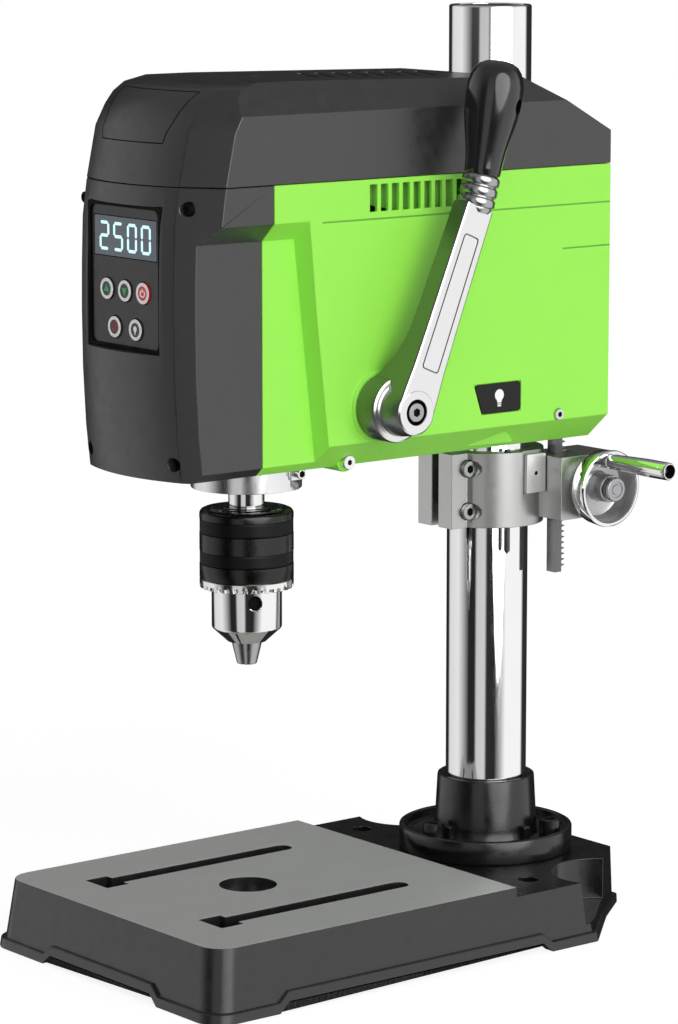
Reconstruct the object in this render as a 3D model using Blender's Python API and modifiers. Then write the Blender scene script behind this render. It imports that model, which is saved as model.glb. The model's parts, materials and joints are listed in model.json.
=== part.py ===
"""Mini bench drill press: a cast base with a slotted table, a steel column, a rack lift
that raises the head, and a belt driven spindle with a keyed chuck and a feed lever.

Units are metres and +Z is up. X is zero on the plane of symmetry, Y is zero at the middle
of the base, the control panel looks along -Y, and the feed lever is on the +X side.
"""

import math

import bmesh
import bpy
from mathutils import Matrix, Vector

# Driving dimensions

BASE_LENGTH = 0.324
BASE_WIDTH = 0.203
BASE_REAR = 0.165
TABLE_HEIGHT = 0.038
COLUMN_RADIUS = 0.0225
COLUMN_TOP = 0.503
COLUMN_TO_REAR = 0.057
THROAT = 0.168
HEAD_WIDTH = 0.120
HEAD_BOTTOM = 0.268
HEAD_HEIGHT = 0.202
HEAD_BEHIND_COLUMN = 0.035
HEAD_BEFORE_SPINDLE = 0.084

COLUMN_Y = BASE_REAR - COLUMN_TO_REAR
SPINDLE_Y = COLUMN_Y - THROAT
HEAD_TOP = HEAD_BOTTOM + HEAD_HEIGHT
HEAD_REAR = COLUMN_Y + HEAD_BEHIND_COLUMN
HEAD_FRONT = SPINDLE_Y - HEAD_BEFORE_SPINDLE

# Clearances

GAP = 0.0003
SLIDING_GAP = 0.00035
OVERRUN = 0.002
JOIN = 0.001

# Facets round a full circle, by size of the piece

COARSE = 12
MEDIUM = 24
FINE = 36

# Meshing

SHARP_ANGLE = math.radians(35)
TURN_MERGE = 0.00001

# Share of a tooth's pitch on each side of its middle, at its root and at its tip

ROOT_SHARE = 0.24
TIP_SHARE = 0.085

# Collections

PARTS = "mini_bench_drill_press"
CUTTERS = "cutters"

# Materials: base colour, roughness, metallic

MATERIALS = {
    "cast_black": ((0.075, 0.075, 0.077), 0.55, 0.0),
    "black_plastic": ((0.105, 0.105, 0.107), 0.45, 0.0),
    "green_plastic": ((0.36, 0.93, 0.13), 0.35, 0.0),
    "panel_black": ((0.02, 0.02, 0.022), 0.15, 0.0),
    "display_glass": ((0.20, 0.23, 0.26), 0.10, 0.0),
    "button_dark": ((0.03, 0.03, 0.03), 0.30, 0.0),
    "button_red": ((0.70, 0.02, 0.03), 0.30, 0.0),
    "chrome": ((0.80, 0.80, 0.80), 0.08, 1.0),
    "steel": ((0.55, 0.55, 0.56), 0.30, 1.0),
    "dark_steel": ((0.05, 0.05, 0.05), 0.35, 0.8),
    "aluminium": ((0.62, 0.62, 0.63), 0.35, 1.0),
    "black_rubber": ((0.02, 0.02, 0.02), 0.60, 0.0),
    "grip_black": ((0.015, 0.015, 0.015), 0.20, 0.0),
    "board_green": ((0.02, 0.16, 0.06), 0.50, 0.0),
    "lens_clear": ((0.85, 0.86, 0.84), 0.20, 0.0),
}


def collection_named(name):
    found = bpy.data.collections.get(name)
    if found is None:
        found = bpy.data.collections.new(name)
        bpy.context.scene.collection.children.link(found)
    return found


def material_named(name):
    found = bpy.data.materials.get(name)
    if found is None:
        colour, roughness, metallic = MATERIALS[name]
        found = bpy.data.materials.new(name)
        found.use_nodes = True
        shader = found.node_tree.nodes["Principled BSDF"]
        shader.inputs["Base Color"].default_value = (*colour, 1.0)
        shader.inputs["Roughness"].default_value = roughness
        shader.inputs["Metallic"].default_value = metallic
        found.diffuse_color = (*colour, 1.0)
    return found


def helper(name, mesh):
    """A shape that cuts, joins or bounds a piece, and is no piece itself."""
    obj = bpy.data.objects.new(name, mesh)
    collection_named(CUTTERS).objects.link(obj)
    obj.hide_render = True
    obj.display_type = "WIRE"
    return obj


def piece(obj, name, material, origin=None):
    """Turns a helper into a named piece, with its origin on a joint axis if one is given."""
    collection_named(CUTTERS).objects.unlink(obj)
    collection_named(PARTS).objects.link(obj)
    obj.hide_render = False
    obj.display_type = "TEXTURED"
    obj.name = name
    obj.data.name = name
    obj.data.materials.clear()
    obj.data.materials.append(material_named(material))
    obj.data.shade_smooth()
    obj.data.set_sharp_from_angle(angle=SHARP_ANGLE)
    if origin is not None:
        point = Vector(origin)
        obj.data.transform(Matrix.Translation(-point))
        obj.location = point
    return obj


def finish_mesh(bm, name):
    mesh = bpy.data.meshes.new(name)
    bm.to_mesh(mesh)
    bm.free()
    return mesh


def block(low, high):
    """A box between two corners."""
    bm = bmesh.new()
    bmesh.ops.create_cube(bm, size=1.0)
    low, high = Vector(low), Vector(high)
    bmesh.ops.scale(bm, vec=high - low, verts=bm.verts)
    bmesh.ops.translate(bm, vec=(low + high) / 2, verts=bm.verts)
    return helper("block", finish_mesh(bm, "block"))


TURN_TO = {
    "X": Matrix.Rotation(math.pi / 2, 4, "Y"),
    "Y": Matrix.Rotation(-math.pi / 2, 4, "X"),
    "Z": Matrix.Identity(4),
}


def rod(radius, start, length, axis="Z", sides=MEDIUM, end_radius=None):
    """A cylinder or cone whose first end is centred on start and that runs along +axis."""
    bm = bmesh.new()
    far_radius = radius if end_radius is None else end_radius
    bmesh.ops.create_cone(
        bm, cap_ends=True, segments=sides, radius1=radius, radius2=far_radius, depth=length
    )
    bmesh.ops.translate(bm, vec=(0, 0, length / 2), verts=bm.verts)
    half_step = Matrix.Rotation(math.pi / sides, 4, "Z")
    bmesh.ops.transform(bm, matrix=TURN_TO[axis] @ half_step, verts=bm.verts)
    bmesh.ops.translate(bm, vec=Vector(start), verts=bm.verts)
    return helper("rod", finish_mesh(bm, "rod"))


def evaluated_mesh(obj):
    bpy.context.view_layer.update()
    graph = bpy.context.evaluated_depsgraph_get()
    return bpy.data.meshes.new_from_object(obj.evaluated_get(graph))


def turned(profile, centre, axis="Z", sides=FINE, closed=True):
    """A profile of (radius, height) points, turned about an axis through centre.

    A closed profile runs down its outer side, in along the bottom and up its inner side.
    An open one starts and ends on the axis and so makes a solid.
    """
    bm = bmesh.new()
    points = [bm.verts.new((radius, 0, height)) for radius, height in profile]
    for pair in zip(points, points[1:] + (points[:1] if closed else [])):
        bm.edges.new(pair)
    obj = helper("turned", finish_mesh(bm, "turned"))
    screw = obj.modifiers.new("turn", "SCREW")
    screw.axis = "Z"
    screw.steps = sides
    screw.render_steps = sides
    screw.use_merge_vertices = True
    screw.merge_threshold = TURN_MERGE
    mesh = evaluated_mesh(obj)
    obj.modifiers.clear()
    obj.data = mesh
    mesh.transform(Matrix.Translation(Vector(centre)) @ TURN_TO[axis])
    return obj


PLANES = {
    "XY": Matrix(((1, 0, 0, 0), (0, 1, 0, 0), (0, 0, 1, 0), (0, 0, 0, 1))),
    "YZ": Matrix(((0, 0, 1, 0), (1, 0, 0, 0), (0, 1, 0, 0), (0, 0, 0, 1))),
    "XZ": Matrix(((1, 0, 0, 0), (0, 0, -1, 0), (0, 1, 0, 0), (0, 0, 0, 1))),
}
ACROSS = {"XY": Vector((0, 0, 1)), "YZ": Vector((1, 0, 0)), "XZ": Vector((0, 1, 0))}


def plate(outline, plane, low, high):
    """A flat outline in one plane, made solid from low to high across that plane."""
    curve = bpy.data.curves.new("plate", "CURVE")
    curve.dimensions = "2D"
    curve.fill_mode = "BOTH"
    curve.extrude = (high - low) / 2
    spline = curve.splines.new("POLY")
    spline.points.add(len(outline) - 1)
    for point, (u, v) in zip(spline.points, outline):
        point.co = (u, v, 0, 1)
    spline.use_cyclic_u = True
    drawn = helper("plate", curve)
    drawn.matrix_world = Matrix.Translation(ACROSS[plane] * (low + high) / 2) @ PLANES[plane]
    mesh = evaluated_mesh(drawn)
    bm = bmesh.new()
    bm.from_mesh(mesh)
    bmesh.ops.remove_doubles(bm, verts=bm.verts, dist=TURN_MERGE)
    bmesh.ops.recalc_face_normals(bm, faces=bm.faces)
    bm.to_mesh(mesh)
    bm.free()
    mesh.transform(drawn.matrix_world)
    bpy.data.objects.remove(drawn)
    return helper("plate", mesh)


def loft(*outlines):
    """A solid through outlines of as many points each, given as points in space, in order."""
    bm = bmesh.new()
    rings = [[bm.verts.new(point) for point in outline] for outline in outlines]
    count = len(rings[0])
    bm.faces.new(rings[0])
    bm.faces.new(rings[-1])
    for lower, upper in zip(rings, rings[1:]):
        for i in range(count):
            j = (i + 1) % count
            bm.faces.new((lower[i], lower[j], upper[j], upper[i]))
    bmesh.ops.recalc_face_normals(bm, faces=bm.faces)
    bmesh.ops.triangulate(bm, faces=bm.faces)
    return helper("loft", finish_mesh(bm, "loft"))


def combine(target, others, operation):
    for other in others:
        boolean = target.modifiers.new(operation.lower(), "BOOLEAN")
        boolean.operation = operation
        boolean.solver = "EXACT"
        boolean.object = other
    mesh = evaluated_mesh(target)
    target.modifiers.clear()
    target.data = mesh
    return target


def cut(target, *others):
    return combine(target, others, "DIFFERENCE")


def join(target, *others):
    return combine(target, others, "UNION")


def common(target, *others):
    return combine(target, others, "INTERSECT")


def arc(centre, radius, start, end, count):
    """Points on an arc, with its angles in degrees."""
    points = []
    for i in range(count):
        angle = math.radians(start + (end - start) * i / (count - 1))
        points.append((centre[0] + radius * math.cos(angle), centre[1] + radius * math.sin(angle)))
    return points


def mirrored_x(outline):
    return [(-x, y) for x, y in reversed(outline)]


def between(first, second, share):
    return first + (second - first) * share


def body(name, pieces, at):
    """Hangs the pieces of one moving body on an empty that sits on its joint."""
    empty = bpy.data.objects.new(name, None)
    empty.location = at
    collection_named(PARTS).objects.link(empty)
    for each in pieces:
        each.parent = empty
        each.matrix_parent_inverse = Matrix.Translation(-Vector(at))
    return empty


def gear_outline(centre, teeth, pitch_radius, addendum, dedendum, start_angle):
    """Straight sided teeth, thinner than their spaces, so that they run without binding."""
    points = []
    step = 2 * math.pi / teeth
    for tooth in range(teeth):
        middle = start_angle + tooth * step
        flank = (
            (pitch_radius - dedendum, -ROOT_SHARE * step),
            (pitch_radius + addendum, -TIP_SHARE * step),
            (pitch_radius + addendum, TIP_SHARE * step),
            (pitch_radius - dedendum, ROOT_SHARE * step),
        )
        for radius, turn in flank:
            angle = middle + turn
            points.append(
                (centre[0] + radius * math.cos(angle), centre[1] + radius * math.sin(angle))
            )
    return points


def rack_teeth(first, last, pitch, root, tip, phase):
    """Points (across, up) of rack teeth between two heights, one tooth centred on phase."""
    points = []
    number = math.ceil((first - phase) / pitch + 0.5)
    while phase + (number + 0.5) * pitch <= last:
        middle = phase + number * pitch
        points.append((root, middle - ROOT_SHARE * pitch))
        points.append((tip, middle - TIP_SHARE * pitch))
        points.append((tip, middle + TIP_SHARE * pitch))
        points.append((root, middle + ROOT_SHARE * pitch))
        number += 1
    return points


# Base casting

BASE_WALL = 0.005
TABLE_THICKNESS = 0.014
WALL_DRAFT = 0.0045
REAR_DRAFT = 0.0022
FOOT_LIP = 0.0018
FOOT_LIP_HEIGHT = 0.0055
FRONT_CORNER = 0.014
FRONT_CORNER_POINTS = 6
TABLE_LENGTH = 0.2075
DECK_DROP = 0.005
SHOULDER_TO_REAR = 0.063
KNEE_HALF_WIDTH = 0.0678
KNEE_TO_REAR = 0.0262
REAR_HALF_WIDTH = 0.0478
POCKET_RADIUS = 0.028
POCKET_X = 0.084
POCKET_TO_REAR = 0.045
POCKET_FLOOR = 0.010
FOOT_WIDTH = 0.050
FRONT_FOOT_LENGTH = 0.0426
REAR_FOOT_LENGTH = 0.0324
ARCH_HEIGHT = 0.0052
ARCH_SLOPE = 0.0065
SLOT_X = 0.0510
SLOT_WIDTH = 0.0108
SLOT_LIP = 0.005
CHANNEL_WIDTH = 0.0205
CHANNEL_HEIGHT = 0.005
SLOT_ENTRY_LENGTH = 0.014
SLOT_ENTRY_INSET = 0.0355
SLOT_LENGTH = 0.1315
TABLE_HOLE_RADIUS = 0.0155
BOLT_HOLE_RADIUS = 0.0055
BOLT_HOLE_X = 0.072
BOLT_HOLE_TO_TABLE = 0.0285
FLANGE_RADIUS = 0.0485
FLANGE_CLEARANCE = 0.006
FLANGE_SCREW_RADIUS = 0.0035
PAD_THICKNESS = 0.012

BASE_FRONT = BASE_REAR - BASE_LENGTH
TABLE_REAR = BASE_FRONT + TABLE_LENGTH
DECK_HEIGHT = TABLE_HEIGHT - DECK_DROP


def base_outline(height, inset):
    """The casting's outline at a height, drawn in by its draft and by an inset."""
    rise = height / TABLE_HEIGHT
    wall_inset = WALL_DRAFT * rise + inset
    half = BASE_WIDTH / 2 - wall_inset
    front = BASE_FRONT + wall_inset
    rear = BASE_REAR - REAR_DRAFT * rise - inset
    corner = (half - FRONT_CORNER, front + FRONT_CORNER)
    right = arc(corner, FRONT_CORNER, -90, 0, FRONT_CORNER_POINTS)
    right.append((half, BASE_REAR - SHOULDER_TO_REAR - wall_inset))
    right.append((KNEE_HALF_WIDTH - inset, BASE_REAR - KNEE_TO_REAR - inset))
    right.append((REAR_HALF_WIDTH - inset, rear))
    return [(x, y, height) for x, y in right + mirrored_x(right)]


def slot_cutters(side):
    centre = side * SLOT_X
    entry = BASE_FRONT + SLOT_ENTRY_INSET
    end = entry + SLOT_LENGTH
    lip_bottom = TABLE_HEIGHT - SLOT_LIP
    floor = lip_bottom - CHANNEL_HEIGHT
    round_centre = end - SLOT_WIDTH / 2
    half_channel = CHANNEL_WIDTH / 2
    top = TABLE_HEIGHT + OVERRUN
    pocket_end = entry + SLOT_ENTRY_LENGTH
    pocket = block((centre - half_channel, entry, floor), (centre + half_channel, pocket_end, top))
    channel = block(
        (centre - half_channel, entry + JOIN, floor),
        (centre + half_channel, round_centre + half_channel, lip_bottom),
    )
    slot = block(
        (centre - SLOT_WIDTH / 2, entry + JOIN, lip_bottom - JOIN),
        (centre + SLOT_WIDTH / 2, round_centre, top),
    )
    slot_end = rod(
        SLOT_WIDTH / 2, (centre, round_centre, lip_bottom - JOIN), top - lip_bottom + JOIN
    )
    return join(pocket, channel, slot, slot_end)


def make_base():
    casting = loft(base_outline(0, 0), base_outline(FOOT_LIP_HEIGHT, 0))
    join(casting, loft(base_outline(JOIN, FOOT_LIP), base_outline(TABLE_HEIGHT, FOOT_LIP)))
    ceiling = TABLE_HEIGHT - TABLE_THICKNESS
    wall = FOOT_LIP + BASE_WALL
    hollow = loft(base_outline(-OVERRUN, wall), base_outline(ceiling, wall))
    pockets = []
    for side in (-1, 1):
        at = (side * POCKET_X, BASE_REAR - POCKET_TO_REAR)
        cut(hollow, rod(POCKET_RADIUS + BASE_WALL, (*at, -2 * OVERRUN), TABLE_HEIGHT + 4 * OVERRUN))
        pockets.append(
            rod(POCKET_RADIUS, (*at, POCKET_FLOOR), TABLE_HEIGHT - POCKET_FLOOR + OVERRUN, sides=FINE)
        )
    flange_pad = rod(
        FLANGE_RADIUS, (0, COLUMN_Y, -2 * OVERRUN), TABLE_HEIGHT + 4 * OVERRUN, sides=FINE
    )
    hollow_under_pad = rod(
        FLANGE_RADIUS - BASE_WALL, (0, COLUMN_Y, -OVERRUN), DECK_HEIGHT - PAD_THICKNESS + OVERRUN, sides=FINE
    )
    cut(hollow, flange_pad)
    wide = BASE_WIDTH / 2 + OVERRUN
    above = TABLE_HEIGHT + OVERRUN
    deck = block((-wide, TABLE_REAR, DECK_HEIGHT), (wide, BASE_REAR + OVERRUN, above))
    flange_room = rod(
        FLANGE_RADIUS + FLANGE_CLEARANCE, (0, COLUMN_Y, DECK_HEIGHT), above - DECK_HEIGHT, sides=FINE
    )
    join(deck, flange_room)
    arch_start = BASE_FRONT + FRONT_FOOT_LENGTH
    arch_end = BASE_REAR - SHOULDER_TO_REAR - REAR_FOOT_LENGTH
    side_arch = plate(
        [
            (arch_start, -OVERRUN),
            (arch_start, 0),
            (arch_start + ARCH_SLOPE, ARCH_HEIGHT),
            (arch_end - ARCH_SLOPE, ARCH_HEIGHT),
            (arch_end, 0),
            (arch_end, -OVERRUN),
        ],
        "YZ",
        -wide,
        wide,
    )
    arch_half = BASE_WIDTH / 2 - FOOT_WIDTH
    front_arch = plate(
        [
            (-arch_half, -OVERRUN),
            (-arch_half, 0),
            (-arch_half + ARCH_SLOPE, ARCH_HEIGHT),
            (arch_half - ARCH_SLOPE, ARCH_HEIGHT),
            (arch_half, 0),
            (arch_half, -OVERRUN),
        ],
        "XZ",
        BASE_FRONT - OVERRUN,
        BASE_FRONT + 2 * BASE_WALL,
    )
    holes = [
        rod(TABLE_HOLE_RADIUS, (0, SPINDLE_Y, ceiling - OVERRUN), TABLE_THICKNESS + 2 * OVERRUN, sides=FINE)
    ]
    for side in (-1, 1):
        at = (side * BOLT_HOLE_X, TABLE_REAR + BOLT_HOLE_TO_TABLE, ceiling - OVERRUN)
        holes.append(rod(BOLT_HOLE_RADIUS, at, TABLE_THICKNESS + 2 * OVERRUN))
    for x, y in flange_screw_places():
        at = (x, y, DECK_HEIGHT - PAD_THICKNESS - OVERRUN)
        holes.append(rod(FLANGE_SCREW_RADIUS + GAP, at, PAD_THICKNESS + 2 * OVERRUN, sides=COARSE))
    slots = [slot_cutters(side) for side in (-1, 1)]
    cut(casting, hollow, hollow_under_pad, deck, side_arch, front_arch, *pockets, *holes, *slots)
    return [piece(casting, "base_casting", "cast_black")]


# Column flange, its screws and the column

FLANGE_RIM_HEIGHT = 0.013
FLANGE_RIM_WALL = 0.0035
FLANGE_FLOOR = 0.008
SLEEVE_HEIGHT = 0.042
SLEEVE_TOP_RADIUS = 0.0270
SLEEVE_FOOT_RADIUS = 0.0287
SLEEVE_LIP = 0.0012
FLANGE_SCREW_CIRCLE = 0.038
FLANGE_SCREW_ANGLES = (-90, 30, 150)
FLANGE_SCREW_LENGTH = 0.018
FLANGE_HEAD_RADIUS = 0.0058
FLANGE_HEAD_HEIGHT = 0.010
SOCKET_DEPTH_SHARE = 0.5
SOCKET_RADIUS_SHARE = 0.5
COLUMN_WALL = 0.0025
COLUMN_EDGE = 0.001
PLUG_THICKNESS = 0.004
PLUG_INSET = 0.0005
SET_SCREW_RADIUS = 0.003
SET_SCREW_LENGTH = 0.008
SET_SCREW_RISE = 0.027

FLANGE_BOTTOM = DECK_HEIGHT + GAP
COLUMN_FOOT = FLANGE_BOTTOM


def flange_screw_places():
    places = []
    for degrees in FLANGE_SCREW_ANGLES:
        angle = math.radians(degrees)
        places.append(
            (
                FLANGE_SCREW_CIRCLE * math.cos(angle),
                COLUMN_Y + FLANGE_SCREW_CIRCLE * math.sin(angle),
            )
        )
    return places


def cap_screw(head_radius, head_height, shank_radius, shank_length, at, axis, head_first=True):
    """A socket head screw along an axis. at is where the head meets the shank.

    head_first puts the head on the + side of at, and the shank on the - side.
    """
    socket_radius = head_radius * SOCKET_RADIUS_SHARE
    socket_floor = head_height * (1 - SOCKET_DEPTH_SHARE)
    head_profile = [
        (0, socket_floor),
        (socket_radius, socket_floor),
        (socket_radius, head_height),
        (head_radius, head_height),
        (head_radius, 0),
        (shank_radius, 0),
        (shank_radius, -shank_length),
        (0, -shank_length),
    ]
    if not head_first:
        head_profile = [(radius, -height) for radius, height in reversed(head_profile)]
    return turned(head_profile, at, axis, COARSE, closed=False)


def make_flange():
    outer, floor = FLANGE_RADIUS, FLANGE_FLOOR
    profile = [
        (SLEEVE_TOP_RADIUS, SLEEVE_HEIGHT),
        (SLEEVE_FOOT_RADIUS, floor),
        (outer - FLANGE_RIM_WALL, floor),
        (outer - FLANGE_RIM_WALL, FLANGE_RIM_HEIGHT),
        (outer, FLANGE_RIM_HEIGHT),
        (outer, 0),
        (COLUMN_RADIUS + GAP, 0),
        (COLUMN_RADIUS + GAP, SLEEVE_HEIGHT - SLEEVE_LIP),
        (COLUMN_RADIUS + GAP + SLEEVE_LIP, SLEEVE_HEIGHT),
    ]
    flange = turned(profile, (0, COLUMN_Y, FLANGE_BOTTOM))
    holes = []
    screws = []
    seat = FLANGE_BOTTOM + FLANGE_FLOOR
    for number, (x, y) in enumerate(flange_screw_places(), start=1):
        holes.append(
            rod(FLANGE_SCREW_RADIUS + GAP, (x, y, FLANGE_BOTTOM - OVERRUN), floor + 2 * OVERRUN, sides=COARSE)
        )
        screw = cap_screw(
            FLANGE_HEAD_RADIUS,
            FLANGE_HEAD_HEIGHT,
            FLANGE_SCREW_RADIUS,
            FLANGE_SCREW_LENGTH,
            (x, y, seat + GAP),
            "Z",
        )
        screws.append(piece(screw, f"flange_screw_{number}", "dark_steel"))
    set_screw_start = COLUMN_Y + COLUMN_RADIUS + GAP
    set_screw_height = FLANGE_BOTTOM + SET_SCREW_RISE
    holes.append(
        rod(
            SET_SCREW_RADIUS + GAP,
            (0, COLUMN_Y, set_screw_height),
            SLEEVE_FOOT_RADIUS + OVERRUN,
            axis="Y",
            sides=COARSE,
        )
    )
    set_screw = rod(
        SET_SCREW_RADIUS, (0, set_screw_start, set_screw_height), SET_SCREW_LENGTH, axis="Y", sides=COARSE
    )
    cut(flange, *holes)
    return [
        piece(flange, "column_flange", "cast_black"),
        piece(set_screw, "column_set_screw", "dark_steel"),
        *screws,
    ]


def make_column():
    inner = COLUMN_RADIUS - COLUMN_WALL
    profile = [
        (COLUMN_RADIUS - COLUMN_EDGE, COLUMN_TOP),
        (COLUMN_RADIUS, COLUMN_TOP - COLUMN_EDGE),
        (COLUMN_RADIUS, COLUMN_FOOT),
        (inner, COLUMN_FOOT),
        (inner, COLUMN_TOP),
    ]
    at = (0, COLUMN_Y, 0)
    tube = piece(turned(profile, at), "column_tube", "chrome", at)
    plug_bottom = COLUMN_TOP - PLUG_INSET - PLUG_THICKNESS
    plug = rod(inner - GAP, (0, COLUMN_Y, plug_bottom), PLUG_THICKNESS, sides=FINE)
    return [tube, piece(plug, "column_plug", "black_plastic", at)]


# Lift bracket: the split clamp on the column that carries the crank

BRACKET_BOTTOM = 0.219
BRACKET_HEIGHT = 0.0415
RING_RADIUS = 0.031
EAR_HALF_WIDTH = 0.0145
EAR_REACH = 0.038
SLIT_WIDTH = 0.0055
CLAMP_SCREW_OFFSET = 0.0272
CLAMP_SCREW_SHARES = (0.79, 0.22)
CLAMP_SCREW_RADIUS = 0.0022
CLAMP_HEAD_RADIUS = 0.0045
CLAMP_HEAD_HEIGHT = 0.005
CLAMP_SEAT_X = 0.0120
HOUSING_INNER_X = 0.014
HOUSING_OUTER_X = 0.0455
HOUSING_HALF_HEIGHT = 0.0175
HOUSING_HALF_DEPTH = 0.0175
CRANK_BEHIND_COLUMN = 0.037
CRANK_RISE = 0.021
LIFT_TEETH = 16
LIFT_PITCH_RADIUS = 0.008
LIFT_ADDENDUM = 0.0008
LIFT_DEDENDUM = 0.0012
LIFT_RACK_X = 0.0240
LIFT_RACK_WIDTH = 0.007
LIFT_RACK_DEPTH = 0.0070
LIFT_RACK_BELOW_HEAD = 0.0774
LIFT_RACK_IN_HEAD = 0.064
CRANK_SHAFT_RADIUS = 0.005
LOCK_BLOCK_WIDTH = 0.0135
LOCK_BLOCK_HEIGHT = 0.0215
LOCK_BLOCK_THICKNESS = 0.005
LOCK_BLOCK_BEHIND = 0.0062
LOCK_BLOCK_DROP = 0.0015
LOCK_HOLE_RADIUS = 0.0012
STOP_SCREW_RADIUS = 0.0017
STOP_SCREW_X = 0.0270
STOP_SCREW_BEFORE = 0.0090
STOP_SCREW_BELOW = 0.015
STOP_SCREW_ABOVE = 0.0015
STOP_SCREW_TIP = 0.002

CRANK_Y = COLUMN_Y + CRANK_BEHIND_COLUMN
CRANK_Z = BRACKET_BOTTOM + CRANK_RISE
BRACKET_TOP = BRACKET_BOTTOM + BRACKET_HEIGHT
LIFT_PITCH = 2 * math.pi * LIFT_PITCH_RADIUS / LIFT_TEETH
LIFT_RACK_TIP_Y = CRANK_Y - LIFT_PITCH_RADIUS + LIFT_ADDENDUM
LIFT_RACK_ROOT_Y = CRANK_Y - LIFT_PITCH_RADIUS - LIFT_DEDENDUM
LIFT_RACK_BACK_Y = LIFT_RACK_TIP_Y - LIFT_RACK_DEPTH
LOCK_FACE_X = RING_RADIUS - LOCK_BLOCK_BEHIND / 2


def clamp_screw_heights():
    return [BRACKET_BOTTOM + share * BRACKET_HEIGHT for share in CLAMP_SCREW_SHARES]


def make_bracket():
    bracket = rod(RING_RADIUS, (0, COLUMN_Y, BRACKET_BOTTOM), BRACKET_HEIGHT, sides=FINE)
    ears = block(
        (-EAR_HALF_WIDTH, COLUMN_Y - EAR_REACH, BRACKET_BOTTOM),
        (EAR_HALF_WIDTH, COLUMN_Y - COLUMN_RADIUS, BRACKET_TOP),
    )
    housing = block(
        (HOUSING_INNER_X, COLUMN_Y + LOCK_BLOCK_WIDTH + 2 * GAP, CRANK_Z - HOUSING_HALF_HEIGHT),
        (HOUSING_OUTER_X, CRANK_Y + HOUSING_HALF_DEPTH, CRANK_Z + HOUSING_HALF_HEIGHT),
    )
    join(bracket, ears, housing)
    tall = BRACKET_HEIGHT + 2 * OVERRUN
    low = BRACKET_BOTTOM - OVERRUN
    bore = rod(COLUMN_RADIUS + SLIDING_GAP, (0, COLUMN_Y, low), tall, sides=FINE)
    slit = block(
        (-SLIT_WIDTH / 2, COLUMN_Y - EAR_REACH - OVERRUN, low),
        (SLIT_WIDTH / 2, COLUMN_Y, low + tall),
    )
    rack_low = LIFT_RACK_X - SLIDING_GAP
    rack_high = LIFT_RACK_X + LIFT_RACK_WIDTH + SLIDING_GAP
    channel = block((rack_low, LIFT_RACK_BACK_Y - SLIDING_GAP, low), (rack_high, CRANK_Y, low + tall))
    cavity_radius = LIFT_PITCH_RADIUS + LIFT_ADDENDUM + SLIDING_GAP
    cavity = rod(cavity_radius, (rack_low, CRANK_Y, CRANK_Z), rack_high - rack_low, axis="X")
    shaft_start = HOUSING_INNER_X - OVERRUN
    shaft_bore = rod(
        CRANK_SHAFT_RADIUS + SLIDING_GAP,
        (shaft_start, CRANK_Y, CRANK_Z),
        HOUSING_OUTER_X - shaft_start + OVERRUN,
        axis="X",
    )
    holes = [bore, slit, channel, cavity, shaft_bore]
    screws = []
    screw_y = COLUMN_Y - CLAMP_SCREW_OFFSET
    reach = 2 * RING_RADIUS
    for name, height in zip(("upper", "lower"), clamp_screw_heights()):
        holes.append(
            rod(CLAMP_SCREW_RADIUS + GAP, (-RING_RADIUS, screw_y, height), reach, axis="X", sides=COARSE)
        )
        holes.append(
            rod(CLAMP_HEAD_RADIUS + GAP, (CLAMP_SEAT_X, screw_y, height), RING_RADIUS, axis="X", sides=COARSE)
        )
        screw = cap_screw(
            CLAMP_HEAD_RADIUS,
            CLAMP_HEAD_HEIGHT,
            CLAMP_SCREW_RADIUS,
            CLAMP_SEAT_X + EAR_HALF_WIDTH,
            (CLAMP_SEAT_X + GAP, screw_y, height),
            "X",
        )
        screws.append(piece(screw, f"clamp_screw_{name}", "steel"))
    lock_low = BRACKET_TOP - LOCK_BLOCK_DROP - LOCK_BLOCK_HEIGHT
    lock_front = COLUMN_Y
    lock_seat = block(
        (LOCK_FACE_X, lock_front - GAP, lock_low - GAP),
        (HOUSING_OUTER_X, lock_front + LOCK_BLOCK_WIDTH + GAP, BRACKET_TOP + OVERRUN),
    )
    holes.append(lock_seat)
    stop_at = (STOP_SCREW_X, COLUMN_Y - STOP_SCREW_BEFORE)
    holes.append(rod(STOP_SCREW_RADIUS + GAP, (*stop_at, low), tall, sides=COARSE))
    cut(bracket, *holes)
    lock_block = block(
        (LOCK_FACE_X + GAP, lock_front, lock_low),
        (
            LOCK_FACE_X + GAP + LOCK_BLOCK_THICKNESS,
            lock_front + LOCK_BLOCK_WIDTH,
            BRACKET_TOP - LOCK_BLOCK_DROP,
        ),
    )
    lock_hole = rod(
        LOCK_HOLE_RADIUS,
        (LOCK_FACE_X, lock_front + LOCK_BLOCK_WIDTH / 2, lock_low + LOCK_BLOCK_HEIGHT / 2),
        LOCK_BLOCK_THICKNESS + OVERRUN,
        axis="X",
        sides=COARSE,
    )
    cut(lock_block, lock_hole)
    stop_screw = turned(
        [
            (0, BRACKET_HEIGHT + STOP_SCREW_BELOW + STOP_SCREW_ABOVE),
            (STOP_SCREW_RADIUS, BRACKET_HEIGHT + STOP_SCREW_BELOW + STOP_SCREW_ABOVE),
            (STOP_SCREW_RADIUS, STOP_SCREW_TIP),
            (0, 0),
        ],
        (*stop_at, BRACKET_BOTTOM - STOP_SCREW_BELOW),
        sides=COARSE,
        closed=False,
    )
    at = (0, COLUMN_Y, BRACKET_BOTTOM)
    return [
        piece(bracket, "lift_bracket", "aluminium", at),
        piece(lock_block, "lift_lock_block", "aluminium"),
        piece(stop_screw, "height_stop_screw", "dark_steel"),
        *screws,
    ]


# Crank of the rack lift

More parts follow.
